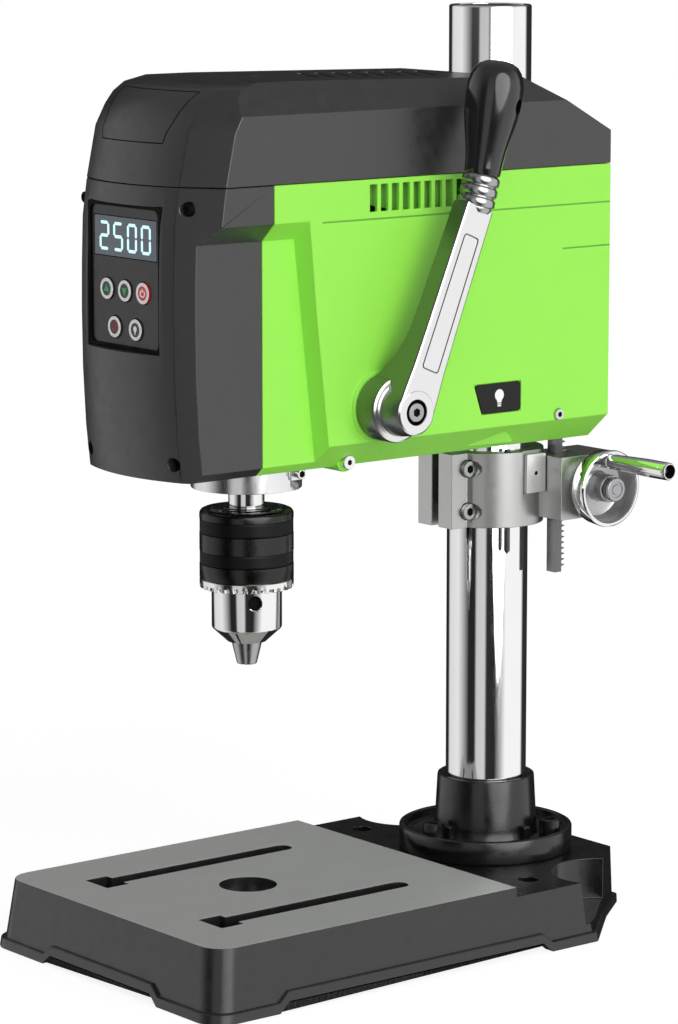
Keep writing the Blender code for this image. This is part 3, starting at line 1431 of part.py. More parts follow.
def make_frame():
    frame = rod(COLLAR_RADIUS, (0, SPINDLE_Y, COLLAR_BOTTOM), PLATE_LOW - COLLAR_BOTTOM + JOIN, sides=FINE)
    guide_low = HEAD_BOTTOM + GUIDE_BELOW
    guide = rod(GUIDE_RADIUS, (0, COLUMN_Y, guide_low), PLATE_TOP - guide_low, sides=FINE)
    top_plate = block(
        (-PLATE_HALF_WIDTH, SPINDLE_Y - COLLAR_RADIUS, PLATE_LOW),
        (PLATE_HALF_WIDTH, COLUMN_Y, PLATE_TOP),
    )
    cheeks = [
        block(
            (x, SPINDLE_Y + COLLAR_RADIUS / 2, HEAD_BOTTOM + CHEEK_LOW_RISE),
            (x + CHEEK_OUTER_X - CHEEK_INNER_X, COLUMN_Y - GUIDE_RADIUS / 2, HEAD_BOTTOM + CHEEK_HIGH_RISE),
        )
        for x in (CHEEK_INNER_X, -CHEEK_OUTER_X)
    ]
    bosses = [
        rod(FEED_BOSS_RADIUS, (x, FEED_Y, FEED_Z), FEED_BOSS_REACH - CHEEK_INNER_X, axis="X")
        for x in (CHEEK_INNER_X, -FEED_BOSS_REACH)
    ]
    rack_lug = block(
        (CHEEK_INNER_X, LIFT_RACK_BACK_Y - GAP - RACK_LUG_THICKNESS, HEAD_BOTTOM + RACK_LUG_LOW),
        (LIFT_RACK_X + LIFT_RACK_WIDTH, LIFT_RACK_BACK_Y - GAP, HEAD_BOTTOM + RACK_LUG_HIGH),
    )
    clamp_lug = block(
        (COLLAR_RADIUS / 2, COLLAR_SCREW_Y - CLAMP_LUG_HALF, COLLAR_BOTTOM),
        (collar_side_x() + CLAMP_LUG_LENGTH / 2, COLLAR_SCREW_Y + CLAMP_LUG_HALF, HEAD_BOTTOM - GAP),
    )
    join(frame, guide, top_plate, *cheeks, *bosses, rack_lug, clamp_lug)
    low = COLLAR_BOTTOM - OVERRUN
    quill_bore = rod(QUILL_RADIUS + SLIDING_GAP, (0, SPINDLE_Y, low), PLATE_LOW - low, sides=FINE)
    column_bore = rod(COLUMN_RADIUS + SLIDING_GAP, (0, COLUMN_Y, low), HEAD_HEIGHT, sides=FINE)
    pinion_slot = block(
        (-CHEEK_INNER_X, SPINDLE_Y, FEED_Z - FEED_PITCH_RADIUS - 2 * OVERRUN),
        (CHEEK_INNER_X, FEED_Y, FEED_Z + FEED_PITCH_RADIUS + 2 * OVERRUN),
    )
    feed_bore = rod(
        FEED_SHAFT_RADIUS + SLIDING_GAP, (-2 * FEED_BOSS_REACH, FEED_Y, FEED_Z), 4 * FEED_BOSS_REACH, axis="X"
    )
    shaft_hole = rod(MOTOR_SHAFT_HOLE, (0, MOTOR_Y, PLATE_LOW - OVERRUN), PLATE_THICKNESS + 2 * OVERRUN)
    hub_hole = rod(
        PULLEY_HUB_RADIUS + GAP, (0, SPINDLE_Y, PLATE_LOW - OVERRUN), PLATE_THICKNESS + 2 * OVERRUN
    )
    screw_hole = rod(
        COLLAR_SCREW_RADIUS + GAP,
        (collar_side_x() - COLLAR_SCREW_LENGTH, COLLAR_SCREW_Y, COLLAR_SCREW_Z),
        2 * COLLAR_SCREW_LENGTH + CLAMP_LUG_LENGTH,
        axis="X",
        sides=COARSE,
    )
    cut(frame, quill_bore, column_bore, pinion_slot, feed_bore, shaft_hole, hub_hole, screw_hole)
    screw = cap_screw(
        COLLAR_SCREW_HEAD,
        COLLAR_SCREW_HEAD_HEIGHT,
        COLLAR_SCREW_RADIUS,
        COLLAR_SCREW_LENGTH - OVERRUN,
        (collar_side_x() + CLAMP_LUG_LENGTH / 2 + GAP, COLLAR_SCREW_Y, COLLAR_SCREW_Z),
        "X",
    )
    lens = block(
        (-LENS_WIDTH / 2, SPINDLE_Y + LENS_BEHIND, HEAD_BOTTOM - LENS_THICKNESS - GAP),
        (LENS_WIDTH / 2, SPINDLE_Y + LENS_BEHIND + LENS_LENGTH, HEAD_BOTTOM - GAP),
    )
    return [
        piece(frame, "head_frame", "aluminium"),
        piece(screw, "collar_clamp_screw", "steel"),
        piece(lens, "work_light_lens", "lens_clear"),
        make_lift_rack(),
    ]


def make_lift_rack():
    low = HEAD_BOTTOM - LIFT_RACK_BELOW_HEAD
    high = HEAD_BOTTOM + LIFT_RACK_IN_HEAD
    phase = CRANK_Z + LIFT_PITCH / 2
    teeth = rack_teeth(low, HEAD_BOTTOM, LIFT_PITCH, LIFT_RACK_ROOT_Y, LIFT_RACK_TIP_Y, phase)
    outline = [
        (LIFT_RACK_BACK_Y, low),
        (LIFT_RACK_ROOT_Y, low),
        *teeth,
        (LIFT_RACK_ROOT_Y, high),
        (LIFT_RACK_BACK_Y, high),
    ]
    rack = plate(outline, "YZ", LIFT_RACK_X, LIFT_RACK_X + LIFT_RACK_WIDTH)
    return piece(rack, "lift_rack", "dark_steel")


# Motor and belt drive

MOTOR_LENGTH = 0.057
MOTOR_SHAFT_RADIUS = 0.004
MOTOR_PULLEY_RADIUS = 0.013
SPINDLE_PULLEY_RADIUS = 0.023
PULLEY_FLANGE = 0.0015
PULLEY_HEIGHT = 0.014
PULLEY_LIFT = 0.003
BELT_HEIGHT = 0.010
BELT_THICKNESS = 0.0022
BELT_POINTS = 14
UPPER_SPINDLE_RADIUS = 0.0070

PULLEY_LOW = PLATE_TOP + PULLEY_LIFT
BELT_LOW = PULLEY_LOW + (PULLEY_HEIGHT - BELT_HEIGHT) / 2


def pulley_profile(radius, bore, hub_radius, hub_drop):
    groove = radius - PULLEY_FLANGE
    rim = (PULLEY_HEIGHT - BELT_HEIGHT) / 2 - GAP
    return [
        (radius, PULLEY_HEIGHT),
        (radius, PULLEY_HEIGHT - rim),
        (groove, PULLEY_HEIGHT - rim),
        (groove, rim),
        (radius, rim),
        (radius, 0),
        (hub_radius, 0),
        (hub_radius, -hub_drop),
        (bore, -hub_drop),
        (bore, PULLEY_HEIGHT),
    ]


def belt_outline(offset):
    """A closed loop round both pulleys, at an offset from their grooves."""
    spindle_radius = SPINDLE_PULLEY_RADIUS - PULLEY_FLANGE + offset
    motor_radius = MOTOR_PULLEY_RADIUS - PULLEY_FLANGE + offset
    lean = math.degrees(math.asin((spindle_radius - motor_radius) / MOTOR_BEHIND))
    front = arc((0, SPINDLE_Y), spindle_radius, 180 - lean, 360 + lean, BELT_POINTS)
    back = arc((0, MOTOR_Y), motor_radius, lean, 180 - lean, BELT_POINTS)
    return front + back


def make_drive():
    can = turned(
        [
            (MOTOR_RADIUS, MOTOR_LENGTH),
            (MOTOR_RADIUS, 0),
            (MOTOR_SHAFT_RADIUS + GAP, 0),
            (MOTOR_SHAFT_RADIUS + GAP, MOTOR_LENGTH),
        ],
        (0, MOTOR_Y, PLATE_LOW - GAP - MOTOR_LENGTH),
    )
    rotor_drop = MOTOR_LENGTH + PLATE_THICKNESS
    motor_pulley = turned(
        [(0, PULLEY_HEIGHT), *pulley_profile(MOTOR_PULLEY_RADIUS, 0, MOTOR_SHAFT_RADIUS, rotor_drop)[:-1]],
        (0, MOTOR_Y, PULLEY_LOW),
        sides=MEDIUM,
        closed=False,
    )
    plate_top_rise = PULLEY_LIFT + PLATE_THICKNESS
    spindle_pulley = turned(
        pulley_profile(
            SPINDLE_PULLEY_RADIUS, UPPER_SPINDLE_RADIUS + GAP, PULLEY_HUB_RADIUS, plate_top_rise
        ),
        (0, SPINDLE_Y, PULLEY_LOW),
        sides=MEDIUM,
    )
    belt = plate(belt_outline(GAP + BELT_THICKNESS), "XY", BELT_LOW, BELT_LOW + BELT_HEIGHT)
    inside = plate(belt_outline(GAP), "XY", BELT_LOW - OVERRUN, BELT_LOW + BELT_HEIGHT + OVERRUN)
    cut(belt, inside)
    rotor = [piece(motor_pulley, "motor_pulley", "steel", (0, MOTOR_Y, PULLEY_LOW))]
    driven = [piece(spindle_pulley, "spindle_pulley", "aluminium", (0, SPINDLE_Y, PULLEY_LOW))]
    body("motor_rotor", rotor, (0, MOTOR_Y, PULLEY_LOW))
    body("pulley_drive", driven, (0, SPINDLE_Y, PULLEY_LOW))
    return [
        piece(can, "motor_housing", "dark_steel"),
        piece(belt, "drive_belt", "black_rubber"),
        *rotor,
        *driven,
    ]


# Quill, spindle and chuck

QUILL_LOW = 0.0015
QUILL_LENGTH = 0.1041
QUILL_BORE = 0.0125
BEARING_RADIUS = 0.0165
BEARING_HEIGHT = 0.010
SPINDLE_RADIUS = 0.0085
CHUCK_TOP_DROP = 0.0247
SPINDLE_HEAD_CLEAR = 0.008
SLEEVE_RADIUS = 0.025
CHUCK_SLEEVE_LENGTH = 0.0366
TEETH_RING_LENGTH = 0.0081
TEETH_RING_RADIUS = 0.0228
CHUCK_CORE_RADIUS = 0.0192
CHUCK_BODY_RADIUS = 0.0187
CHUCK_BODY_LENGTH = 0.0227
CHUCK_CONE_LENGTH = 0.0043
CHUCK_CONE_RADIUS = 0.0115
CHUCK_SOCKET_DEPTH = 0.018
SLEEVE_CHAMFER = 0.0015
JAW_RADIUS = 0.0031
JAW_LENGTH = 0.0260
JAW_TILT = math.radians(14)
JAW_TIP_BELOW_CONE = 0.0120
JAW_TIP_OFFSET = 0.0016
JAW_COUNT = 3
JAW_TRAVEL = 0.018
KEY_HOLE_RADIUS = 0.0030
KEY_HOLE_DEPTH = 0.007
KEY_HOLE_DROP = 0.0075
KEY_HOLE_ANGLES = (-60, 60, 180)

QUILL_BOTTOM = COLLAR_BOTTOM + QUILL_LOW
QUILL_TOP = QUILL_BOTTOM + QUILL_LENGTH
CHUCK_TOP = HEAD_BOTTOM - CHUCK_TOP_DROP
SLEEVE_LOW = CHUCK_TOP - CHUCK_SLEEVE_LENGTH
TEETH_LOW = SLEEVE_LOW - TEETH_RING_LENGTH
CHUCK_BODY_LOW = TEETH_LOW - CHUCK_BODY_LENGTH
CONE_LOW = CHUCK_BODY_LOW - CHUCK_CONE_LENGTH
JAW_TIP_Z = CONE_LOW - JAW_TIP_BELOW_CONE
SPINDLE_TOP = HEAD_TOP - SPINDLE_HEAD_CLEAR


def make_quill():
    at = (0, SPINDLE_Y, 0)
    counterbore = BEARING_RADIUS + GAP
    seat = BEARING_HEIGHT + GAP
    quill = turned(
        [
            (QUILL_RADIUS, QUILL_TOP),
            (QUILL_RADIUS, QUILL_BOTTOM),
            (counterbore, QUILL_BOTTOM),
            (counterbore, QUILL_BOTTOM + seat),
            (QUILL_BORE, QUILL_BOTTOM + seat),
            (QUILL_BORE, QUILL_TOP - seat),
            (counterbore, QUILL_TOP - seat),
            (counterbore, QUILL_TOP),
        ],
        at,
    )
    pitch = 2 * math.pi * FEED_PITCH_RADIUS / FEED_TEETH
    phase = FEED_Z + pitch / 2
    first, last = QUILL_BOTTOM + seat, QUILL_TOP + pitch
    teeth = rack_teeth(first, last, pitch, FEED_RACK_ROOT_Y, FEED_RACK_TIP_Y, phase)
    behind = SPINDLE_Y + QUILL_RADIUS + OVERRUN
    comb = [(behind, teeth[0][1]), *teeth, (behind, teeth[-1][1])]
    rack_half = FEED_HALF_WIDTH + SLIDING_GAP
    cut(quill, plate(comb, "YZ", -rack_half, rack_half))
    bearings = []
    for name, low in (("lower", QUILL_BOTTOM), ("upper", QUILL_TOP - BEARING_HEIGHT)):
        ring = turned(
            [
                (BEARING_RADIUS, BEARING_HEIGHT),
                (BEARING_RADIUS, 0),
                (SPINDLE_RADIUS + GAP, 0),
                (SPINDLE_RADIUS + GAP, BEARING_HEIGHT),
            ],
            (0, SPINDLE_Y, low),
            sides=MEDIUM,
        )
        bearings.append(piece(ring, f"{name}_bearing", "steel"))
    quill_pieces = [piece(quill, "quill", "steel", (0, SPINDLE_Y, QUILL_BOTTOM)), *bearings]
    body("quill_feed", quill_pieces, (0, SPINDLE_Y, QUILL_BOTTOM))
    return quill_pieces


def make_spindle():
    taper_low = CHUCK_TOP - CHUCK_SOCKET_DEPTH + GAP
    spindle = turned(
        [
            (0, SPINDLE_TOP),
            (UPPER_SPINDLE_RADIUS, SPINDLE_TOP),
            (UPPER_SPINDLE_RADIUS, QUILL_TOP + BEARING_HEIGHT / 2),
            (SPINDLE_RADIUS, QUILL_TOP + BEARING_HEIGHT / 2),
            (SPINDLE_RADIUS, taper_low),
            (0, taper_low),
        ],
        (0, SPINDLE_Y, 0),
        sides=MEDIUM,
        closed=False,
    )
    chuck = turned(
        [
            (0, CHUCK_TOP - CHUCK_SOCKET_DEPTH),
            (SPINDLE_RADIUS + GAP, CHUCK_TOP - CHUCK_SOCKET_DEPTH),
            (SPINDLE_RADIUS + GAP, CHUCK_TOP),
            (CHUCK_CORE_RADIUS, CHUCK_TOP),
            (CHUCK_CORE_RADIUS, TEETH_LOW),
            (CHUCK_BODY_RADIUS, TEETH_LOW),
            (CHUCK_BODY_RADIUS, CHUCK_BODY_LOW),
            (CHUCK_CONE_RADIUS, CONE_LOW),
            (0, CONE_LOW),
        ],
        (0, SPINDLE_Y, 0),
        closed=False,
    )
    channel_length = JAW_LENGTH + JAW_TRAVEL + OVERRUN
    channels = [
        jaw_rod(number, JAW_RADIUS + SLIDING_GAP, channel_length) for number in range(JAW_COUNT)
    ]
    key_holes = []
    key_z = TEETH_LOW - KEY_HOLE_DROP
    hole_start = (CHUCK_BODY_RADIUS - KEY_HOLE_DEPTH, 0, 0)
    for degrees in KEY_HOLE_ANGLES:
        hole = rod(KEY_HOLE_RADIUS, hole_start, 2 * KEY_HOLE_DEPTH, axis="X", sides=COARSE)
        hole.data.transform(
            Matrix.Translation((0, SPINDLE_Y, key_z)) @ Matrix.Rotation(math.radians(degrees), 4, "Z")
        )
        key_holes.append(hole)
    cut(chuck, *channels, *key_holes)
    axis_point = (0, SPINDLE_Y, CHUCK_TOP)
    spindle_pieces = [
        piece(spindle, "spindle_shaft", "steel", axis_point),
        piece(chuck, "chuck_body", "chrome", axis_point),
    ]
    body("spindle", spindle_pieces, axis_point)
    bore = CHUCK_CORE_RADIUS + SLIDING_GAP
    sleeve = turned(
        [
            (SLEEVE_RADIUS - SLEEVE_CHAMFER, CHUCK_TOP),
            (SLEEVE_RADIUS, CHUCK_TOP - SLEEVE_CHAMFER),
            (SLEEVE_RADIUS, SLEEVE_LOW),
            (TEETH_RING_RADIUS, SLEEVE_LOW),
            (TEETH_RING_RADIUS, TEETH_LOW + SLEEVE_CHAMFER),
            (TEETH_RING_RADIUS - SLEEVE_CHAMFER, TEETH_LOW),
            (bore, TEETH_LOW),
            (bore, CHUCK_TOP),
        ],
        (0, SPINDLE_Y, 0),
    )
    sleeve_pieces = [piece(sleeve, "chuck_sleeve", "dark_steel", axis_point)]
    body("chuck_sleeve_turn", sleeve_pieces, axis_point)
    return spindle_pieces + sleeve_pieces + make_jaws()


def jaw_frame(number):
    """The place and lean of one jaw: its own Z runs up the jaw, away from the axis."""
    turn = Matrix.Rotation(2 * math.pi * number / JAW_COUNT, 4, "Z")
    lean = Matrix.Rotation(JAW_TILT, 4, "Y")
    tip = Matrix.Translation((0, SPINDLE_Y, JAW_TIP_Z))
    return tip @ turn @ Matrix.Translation((JAW_TIP_OFFSET, 0, 0)) @ lean


def jaw_rod(number, radius, length):
    shape = rod(radius, (0, 0, 0), length, sides=COARSE)
    shape.data.transform(jaw_frame(number))
    return shape


def make_jaws():
    jaws = []
    wedge_angle = 2 * math.pi / JAW_COUNT
    for number in range(JAW_COUNT):
        jaw = jaw_rod(number, JAW_RADIUS, JAW_LENGTH)
        reach = 2 * JAW_LENGTH
        corner = GAP / math.sin(wedge_angle / 2)
        turn = wedge_angle * number
        points = [(corner, 0)]
        for side in (-1, 1):
            angle = side * wedge_angle / 2
            points.append((corner + reach * math.cos(angle), reach * math.sin(angle)))
        outline = [
            (
                x * math.cos(turn) - y * math.sin(turn),
                SPINDLE_Y + x * math.sin(turn) + y * math.cos(turn),
            )
            for x, y in points
        ]
        common(jaw, plate(outline, "XY", JAW_TIP_Z - OVERRUN, JAW_TIP_Z + 2 * JAW_LENGTH))
        at = jaw_frame(number).translation
        jaws.append(piece(jaw, f"chuck_jaw_{number + 1}", "steel", at))
        body(f"jaw_slide_{number + 1}", jaws[-1:], at)
    return jaws


# Feed lever

LEVER_LEAN = math.radians(22.5)
HUB_RADIUS = 0.0175
ARM_INNER_X = 0.0760
ARM_THICKNESS = 0.0140
ARM_FOOT_RADIUS = 0.0120
ARM_HALF_WIDTH_LOW = 0.0105
ARM_HALF_WIDTH_HIGH = 0.0093
ARM_LENGTH = 0.112
ARM_STUD_RADIUS = 0.0045
FERRULE_RADIUS = 0.0102
FERRULE_GROOVE = 0.0012
FERRULE_LENGTH = 0.0150
GRIP_LEAN = math.radians(11)
LEVER_GRIP_LENGTH = 0.0600
GRIP_SEAT = 0.0022
LEVER_GRIP_SHARES = (
    (1.0, 0.0),
    (0.985, 0.40),
    (0.93, 0.72),
    (0.84, 0.93),
    (0.70, 1.0),
    (0.52, 0.95),
    (0.30, 0.78),
    (0.10, 0.66),
    (0.0, 0.64),
)
LEVER_GRIP_RADIUS = 0.0150
GRIP_HOLE_RADIUS = 0.0032
GRIP_HOLE_SHARE = 0.62
GRIP_HOLE_SIDE = 0.0065
LEVER_SCREW_HEAD = 0.0052
LEVER_SCREW_HEAD_HEIGHT = 0.0040
LEVER_SCREW_RADIUS = 0.0028
LEVER_SCREW_LENGTH = 0.0080
FEED_SHAFT_END_X = 0.0700

ARM_OUTER_X = ARM_INNER_X + ARM_THICKNESS
ARM_MIDDLE_X = (ARM_INNER_X + ARM_OUTER_X) / 2


def arm_point(along, across):
    """A (y, z) point given along the arm from the hub and across it."""
    return (
        FEED_Y + along * math.sin(LEVER_LEAN) + across * math.cos(LEVER_LEAN),
        FEED_Z + along * math.cos(LEVER_LEAN) - across * math.sin(LEVER_LEAN),
    )


def placed_on_arm(obj, along, lean):
    """Moves a shape built up the Z axis to a point up the arm, leaning with it."""
    y, z = arm_point(along, 0)
    obj.data.transform(Matrix.Translation((ARM_MIDDLE_X, y, z)) @ Matrix.Rotation(-lean, 4, "X"))
    return obj


def make_lever():
    axis_point = (0, FEED_Y, FEED_Z)
    hub_start = HEAD_HALF + HUB_RING_HEIGHT + 2 * GAP
    arm = rod(HUB_RADIUS, (hub_start, FEED_Y, FEED_Z), ARM_INNER_X + JOIN - hub_start, axis="X", sides=FINE)
    foot = [arm_point(y, x) for x, y in arc((0, 0), ARM_FOOT_RADIUS, 180, 360, 11)]
    outline = [
        *foot,
        arm_point(ARM_FOOT_RADIUS, ARM_HALF_WIDTH_LOW),
        arm_point(ARM_LENGTH, ARM_HALF_WIDTH_HIGH),
        arm_point(ARM_LENGTH, -ARM_HALF_WIDTH_HIGH),
        arm_point(ARM_FOOT_RADIUS, -ARM_HALF_WIDTH_LOW),
    ]
    blade = plate(outline, "YZ", ARM_INNER_X, ARM_OUTER_X)
    stud = rod(ARM_STUD_RADIUS, (0, 0, -JOIN), FERRULE_LENGTH + JOIN, sides=COARSE)
    placed_on_arm(stud, ARM_LENGTH, LEVER_LEAN)
    join(arm, blade, stud)
    shaft_depth = FEED_SHAFT_END_X + GAP - hub_start
    cut(
        arm,
        rod(
            FEED_SHAFT_RADIUS + GAP,
            (hub_start - OVERRUN, FEED_Y, FEED_Z),
            shaft_depth + OVERRUN,
            axis="X",
        ),
        rod(
            LEVER_SCREW_HEAD + GAP,
            (ARM_OUTER_X - LEVER_SCREW_HEAD_HEIGHT, FEED_Y, FEED_Z),
            LEVER_SCREW_HEAD_HEIGHT + OVERRUN,
            axis="X",
        ),
        rod(
            LEVER_SCREW_RADIUS + GAP,
            (FEED_SHAFT_END_X, FEED_Y, FEED_Z),
            ARM_OUTER_X,
            axis="X",
            sides=COARSE,
        ),
    )
    shaft = make_feed_shaft()
    screw = cap_screw(
        LEVER_SCREW_HEAD,
        LEVER_SCREW_HEAD_HEIGHT,
        LEVER_SCREW_RADIUS,
        LEVER_SCREW_LENGTH,
        (ARM_OUTER_X - LEVER_SCREW_HEAD_HEIGHT + GAP, FEED_Y, FEED_Z),
        "X",
    )
    lever = [
        piece(arm, "lever_arm", "chrome", axis_point),
        piece(shaft, "feed_shaft", "steel", axis_point),
        piece(screw, "lever_screw", "steel", axis_point),
        make_ferrule(),
        make_lever_grip(),
    ]
    body("feed_lever", lever, axis_point)
    return lever


def make_feed_shaft():
    start = -FEED_BOSS_REACH
    shaft = rod(FEED_SHAFT_RADIUS, (start, FEED_Y, FEED_Z), FEED_SHAFT_END_X - start, axis="X")
    teeth = gear_outline(
        (FEED_Y, FEED_Z), FEED_TEETH, FEED_PITCH_RADIUS, FEED_ADDENDUM, FEED_DEDENDUM, math.pi
    )
    return join(shaft, plate(teeth, "YZ", -FEED_HALF_WIDTH, FEED_HALF_WIDTH))


def make_ferrule():
    """Three rounded rings between the arm and the grip."""
    rings = 3
    ring_height = FERRULE_LENGTH / rings
    profile = []
    for ring in reversed(range(rings)):
        top = (ring + 1) * ring_height
        profile.append((FERRULE_RADIUS - FERRULE_GROOVE, top - GAP))
        profile.append((FERRULE_RADIUS, top - ring_height / 4))
        profile.append((FERRULE_RADIUS, top - 3 * ring_height / 4))
    profile.append((FERRULE_RADIUS - FERRULE_GROOVE, GAP))
    profile.append((ARM_STUD_RADIUS + GAP, GAP))
    profile.append((ARM_STUD_RADIUS + GAP, FERRULE_LENGTH - GAP))
    ferrule = placed_on_arm(turned(profile, (0, 0, 0), sides=MEDIUM), ARM_LENGTH, LEVER_LEAN)
    return piece(ferrule, "lever_ferrule", "chrome")


def make_lever_grip():
    profile = [(LEVER_GRIP_RADIUS * r, LEVER_GRIP_LENGTH * z) for z, r in LEVER_GRIP_SHARES]
    grip = turned([*profile, (0, 0)], (0, 0, 0), sides=MEDIUM, closed=False)
    hole = rod(
        GRIP_HOLE_RADIUS,
        (-2 * LEVER_GRIP_RADIUS, GRIP_HOLE_SIDE, GRIP_HOLE_SHARE * LEVER_GRIP_LENGTH),
        4 * LEVER_GRIP_RADIUS,
        axis="X",
        sides=COARSE,
    )
    cut(grip, hole)
    placed_on_arm(grip, ARM_LENGTH + FERRULE_LENGTH + GRIP_SEAT, GRIP_LEAN)
    return piece(grip, "lever_grip", "grip_black")


def clear_scene():
    for obj in list(bpy.data.objects):
        bpy.data.objects.remove(obj)


def main():
    clear_scene()
    make_base()
    make_flange()
    column = make_column()
    body("column", column, (0, COLUMN_Y, COLUMN_FOOT))
    bracket = make_bracket()
    body("bracket", bracket, (0, COLUMN_Y, BRACKET_BOTTOM))
    make_crank()
    head = [*make_casing(), *make_frame()]
    body("head", head, (0, COLUMN_Y, HEAD_BOTTOM))
    make_drive()
    make_quill()
    make_spindle()
    make_lever()


main()
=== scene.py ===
import json
import math

import bmesh
import bpy
from mathutils import Matrix, Vector
from mathutils.bvhtree import BVHTree


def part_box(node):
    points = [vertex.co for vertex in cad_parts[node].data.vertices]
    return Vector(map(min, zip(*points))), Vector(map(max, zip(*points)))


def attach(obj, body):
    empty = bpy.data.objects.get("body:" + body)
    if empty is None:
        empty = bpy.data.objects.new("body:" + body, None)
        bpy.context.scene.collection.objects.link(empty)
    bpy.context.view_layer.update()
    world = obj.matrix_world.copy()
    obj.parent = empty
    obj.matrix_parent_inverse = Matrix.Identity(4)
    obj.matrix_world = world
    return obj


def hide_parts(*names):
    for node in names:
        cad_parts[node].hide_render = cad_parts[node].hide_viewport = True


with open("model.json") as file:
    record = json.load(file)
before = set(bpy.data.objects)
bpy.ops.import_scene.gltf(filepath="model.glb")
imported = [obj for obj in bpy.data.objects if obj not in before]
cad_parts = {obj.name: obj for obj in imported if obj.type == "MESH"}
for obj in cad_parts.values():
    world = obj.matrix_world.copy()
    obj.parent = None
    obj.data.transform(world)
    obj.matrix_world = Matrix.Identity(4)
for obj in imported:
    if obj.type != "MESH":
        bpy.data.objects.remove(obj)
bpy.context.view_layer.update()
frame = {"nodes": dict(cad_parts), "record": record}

scene = bpy.context.scene
NODES = frame["nodes"]
BODY_OF = {n: b for b, ns in frame["record"]["behaviour"]["bodies"].items() for n in ns}

# materials


def shader(name, colour, rough, metal=0.0, **sockets):
    m = bpy.data.materials.new(name)
    m.use_nodes = True
    p = m.node_tree.nodes["Principled BSDF"]
    p.inputs["Base Color"].default_value = (*colour, 1)
    p.inputs["Roughness"].default_value = rough
    p.inputs["Metallic"].default_value = metal
    for key, value in sockets.items():
        p.inputs[key.replace("_", " ")].default_value = value
    return m


def noise(m, scale, detail=2.0, stretch=(1, 1, 1), rough=0.5):
    """Fac of a noise on the piece's own coordinates, scale in features per metre."""
    nt = m.node_tree
    at = nt.nodes.new("ShaderNodeTexCoord")
    mp = nt.nodes.new("ShaderNodeMapping")
    mp.inputs["Scale"].default_value = stretch
    n = nt.nodes.new("ShaderNodeTexNoise")
    n.inputs["Scale"].default_value = scale
    n.inputs["Detail"].default_value = detail
    n.inputs["Roughness"].default_value = rough
    nt.links.new(at.outputs["Object"], mp.inputs["Vector"])
    nt.links.new(mp.outputs["Vector"], n.inputs["Vector"])
    return n.outputs["Fac"]


def spread(m, fac, low, high, at_low=0.3, at_high=0.7):
    """Maps a factor to low..high."""
    r = m.node_tree.nodes.new("ShaderNodeMapRange")
    r.inputs["From Min"].default_value = at_low
    r.inputs["From Max"].default_value = at_high
    r.inputs["To Min"].default_value = low
    r.inputs["To Max"].default_value = high
    m.node_tree.links.new(fac, r.inputs["Value"])
    return r.outputs["Result"]


def bumps(m, *layers):
    """Adds height layers (factor, metres)."""
    nt = m.node_tree
    last = None
    for fac, height in layers:
        b = nt.nodes.new("ShaderNodeBump")
        b.inputs["Distance"].default_value = height
        b.inputs["Strength"].default_value = 1.0
        nt.links.new(fac, b.inputs["Height"])
        if last:
            nt.links.new(last, b.inputs["Normal"])
        last = b.outputs["Normal"]
    nt.links.new(last, nt.nodes["Principled BSDF"].inputs["Normal"])


def tint(m, fac, dark, light):
    """Colour between dark and light by a factor."""
    nt = m.node_tree
    mix = nt.nodes.new("ShaderNodeMix")
    mix.data_type = "RGBA"
    mix.inputs["A"].default_value = (*dark, 1)
    mix.inputs["B"].default_value = (*light, 1)
    nt.links.new(fac, mix.inputs["Factor"])
    nt.links.new(mix.outputs["Result"], nt.nodes["Principled BSDF"].inputs["Base Color"])


def polish(m, fac):
    m.node_tree.links.new(fac, m.node_tree.nodes["Principled BSDF"].inputs["Roughness"])


def shade(colour, k):
    return tuple(c * k for c in colour)


def moulded(name, colour, rough, grain=0.00002, vary=0.06, **sockets):
    """Injection moulded plastic: a fine spark-eroded grain and slightly uneven gloss."""
    m = shader(name, colour, rough, **sockets)
    tint(m, noise(m, 35, 3), shade(colour, 1 - vary), shade(colour, 1 + vary))
    polish(m, spread(m, noise(m, 160, 3), rough - 0.05, rough + 0.07))
    bumps(m, (noise(m, 1500, 2), grain), (noise(m, 60, 1), 0.00003))
    return m


def metal(name, colour, rough, stretch=(1, 1, 1), scratch=0.000004, vary=0.05):
    """Machined metal: tool marks drawn out along the short side of stretch."""
    m = shader(name, colour, rough, 1.0)
    marks = noise(m, 900, 3, stretch)
    tint(m, noise(m, 70, 3), shade(colour, 1 - vary), shade(colour, min(1 + vary, 1 / max(colour))))
    polish(m, spread(m, marks, max(rough - 0.03, 0.02), rough + 0.05))
    bumps(m, (marks, scratch))
    return m


def painted_casting(name, colour, rough):
    """Enamel on a sand casting: soft orange peel over a low swell, with dull and glossy patches."""
    m = shader(name, colour, rough, Coat_Weight=0.25, Coat_Roughness=0.18)
    tint(m, noise(m, 45, 4), shade(colour, 0.90), shade(colour, 1.10))
    polish(m, spread(m, noise(m, 120, 4), rough - 0.06, rough + 0.10))
    bumps(m, (noise(m, 650, 2), 0.000035), (noise(m, 90, 2), 0.00012))
    return m


def ground_table():
    """A surface-ground face: fine straight marks along Y over a faint mottle."""
    m = shader("ground_table", (0.55, 0.55, 0.545), 0.42, 0.25)
    marks = noise(m, 60, 4, (60, 1.2, 1), 0.7)
    tint(m, noise(m, 24, 4, (3, 1, 1)), (0.53, 0.53, 0.525), (0.58, 0.58, 0.575))
    polish(m, spread(m, marks, 0.38, 0.50))
    bumps(m, (marks, 0.000008))
    return m


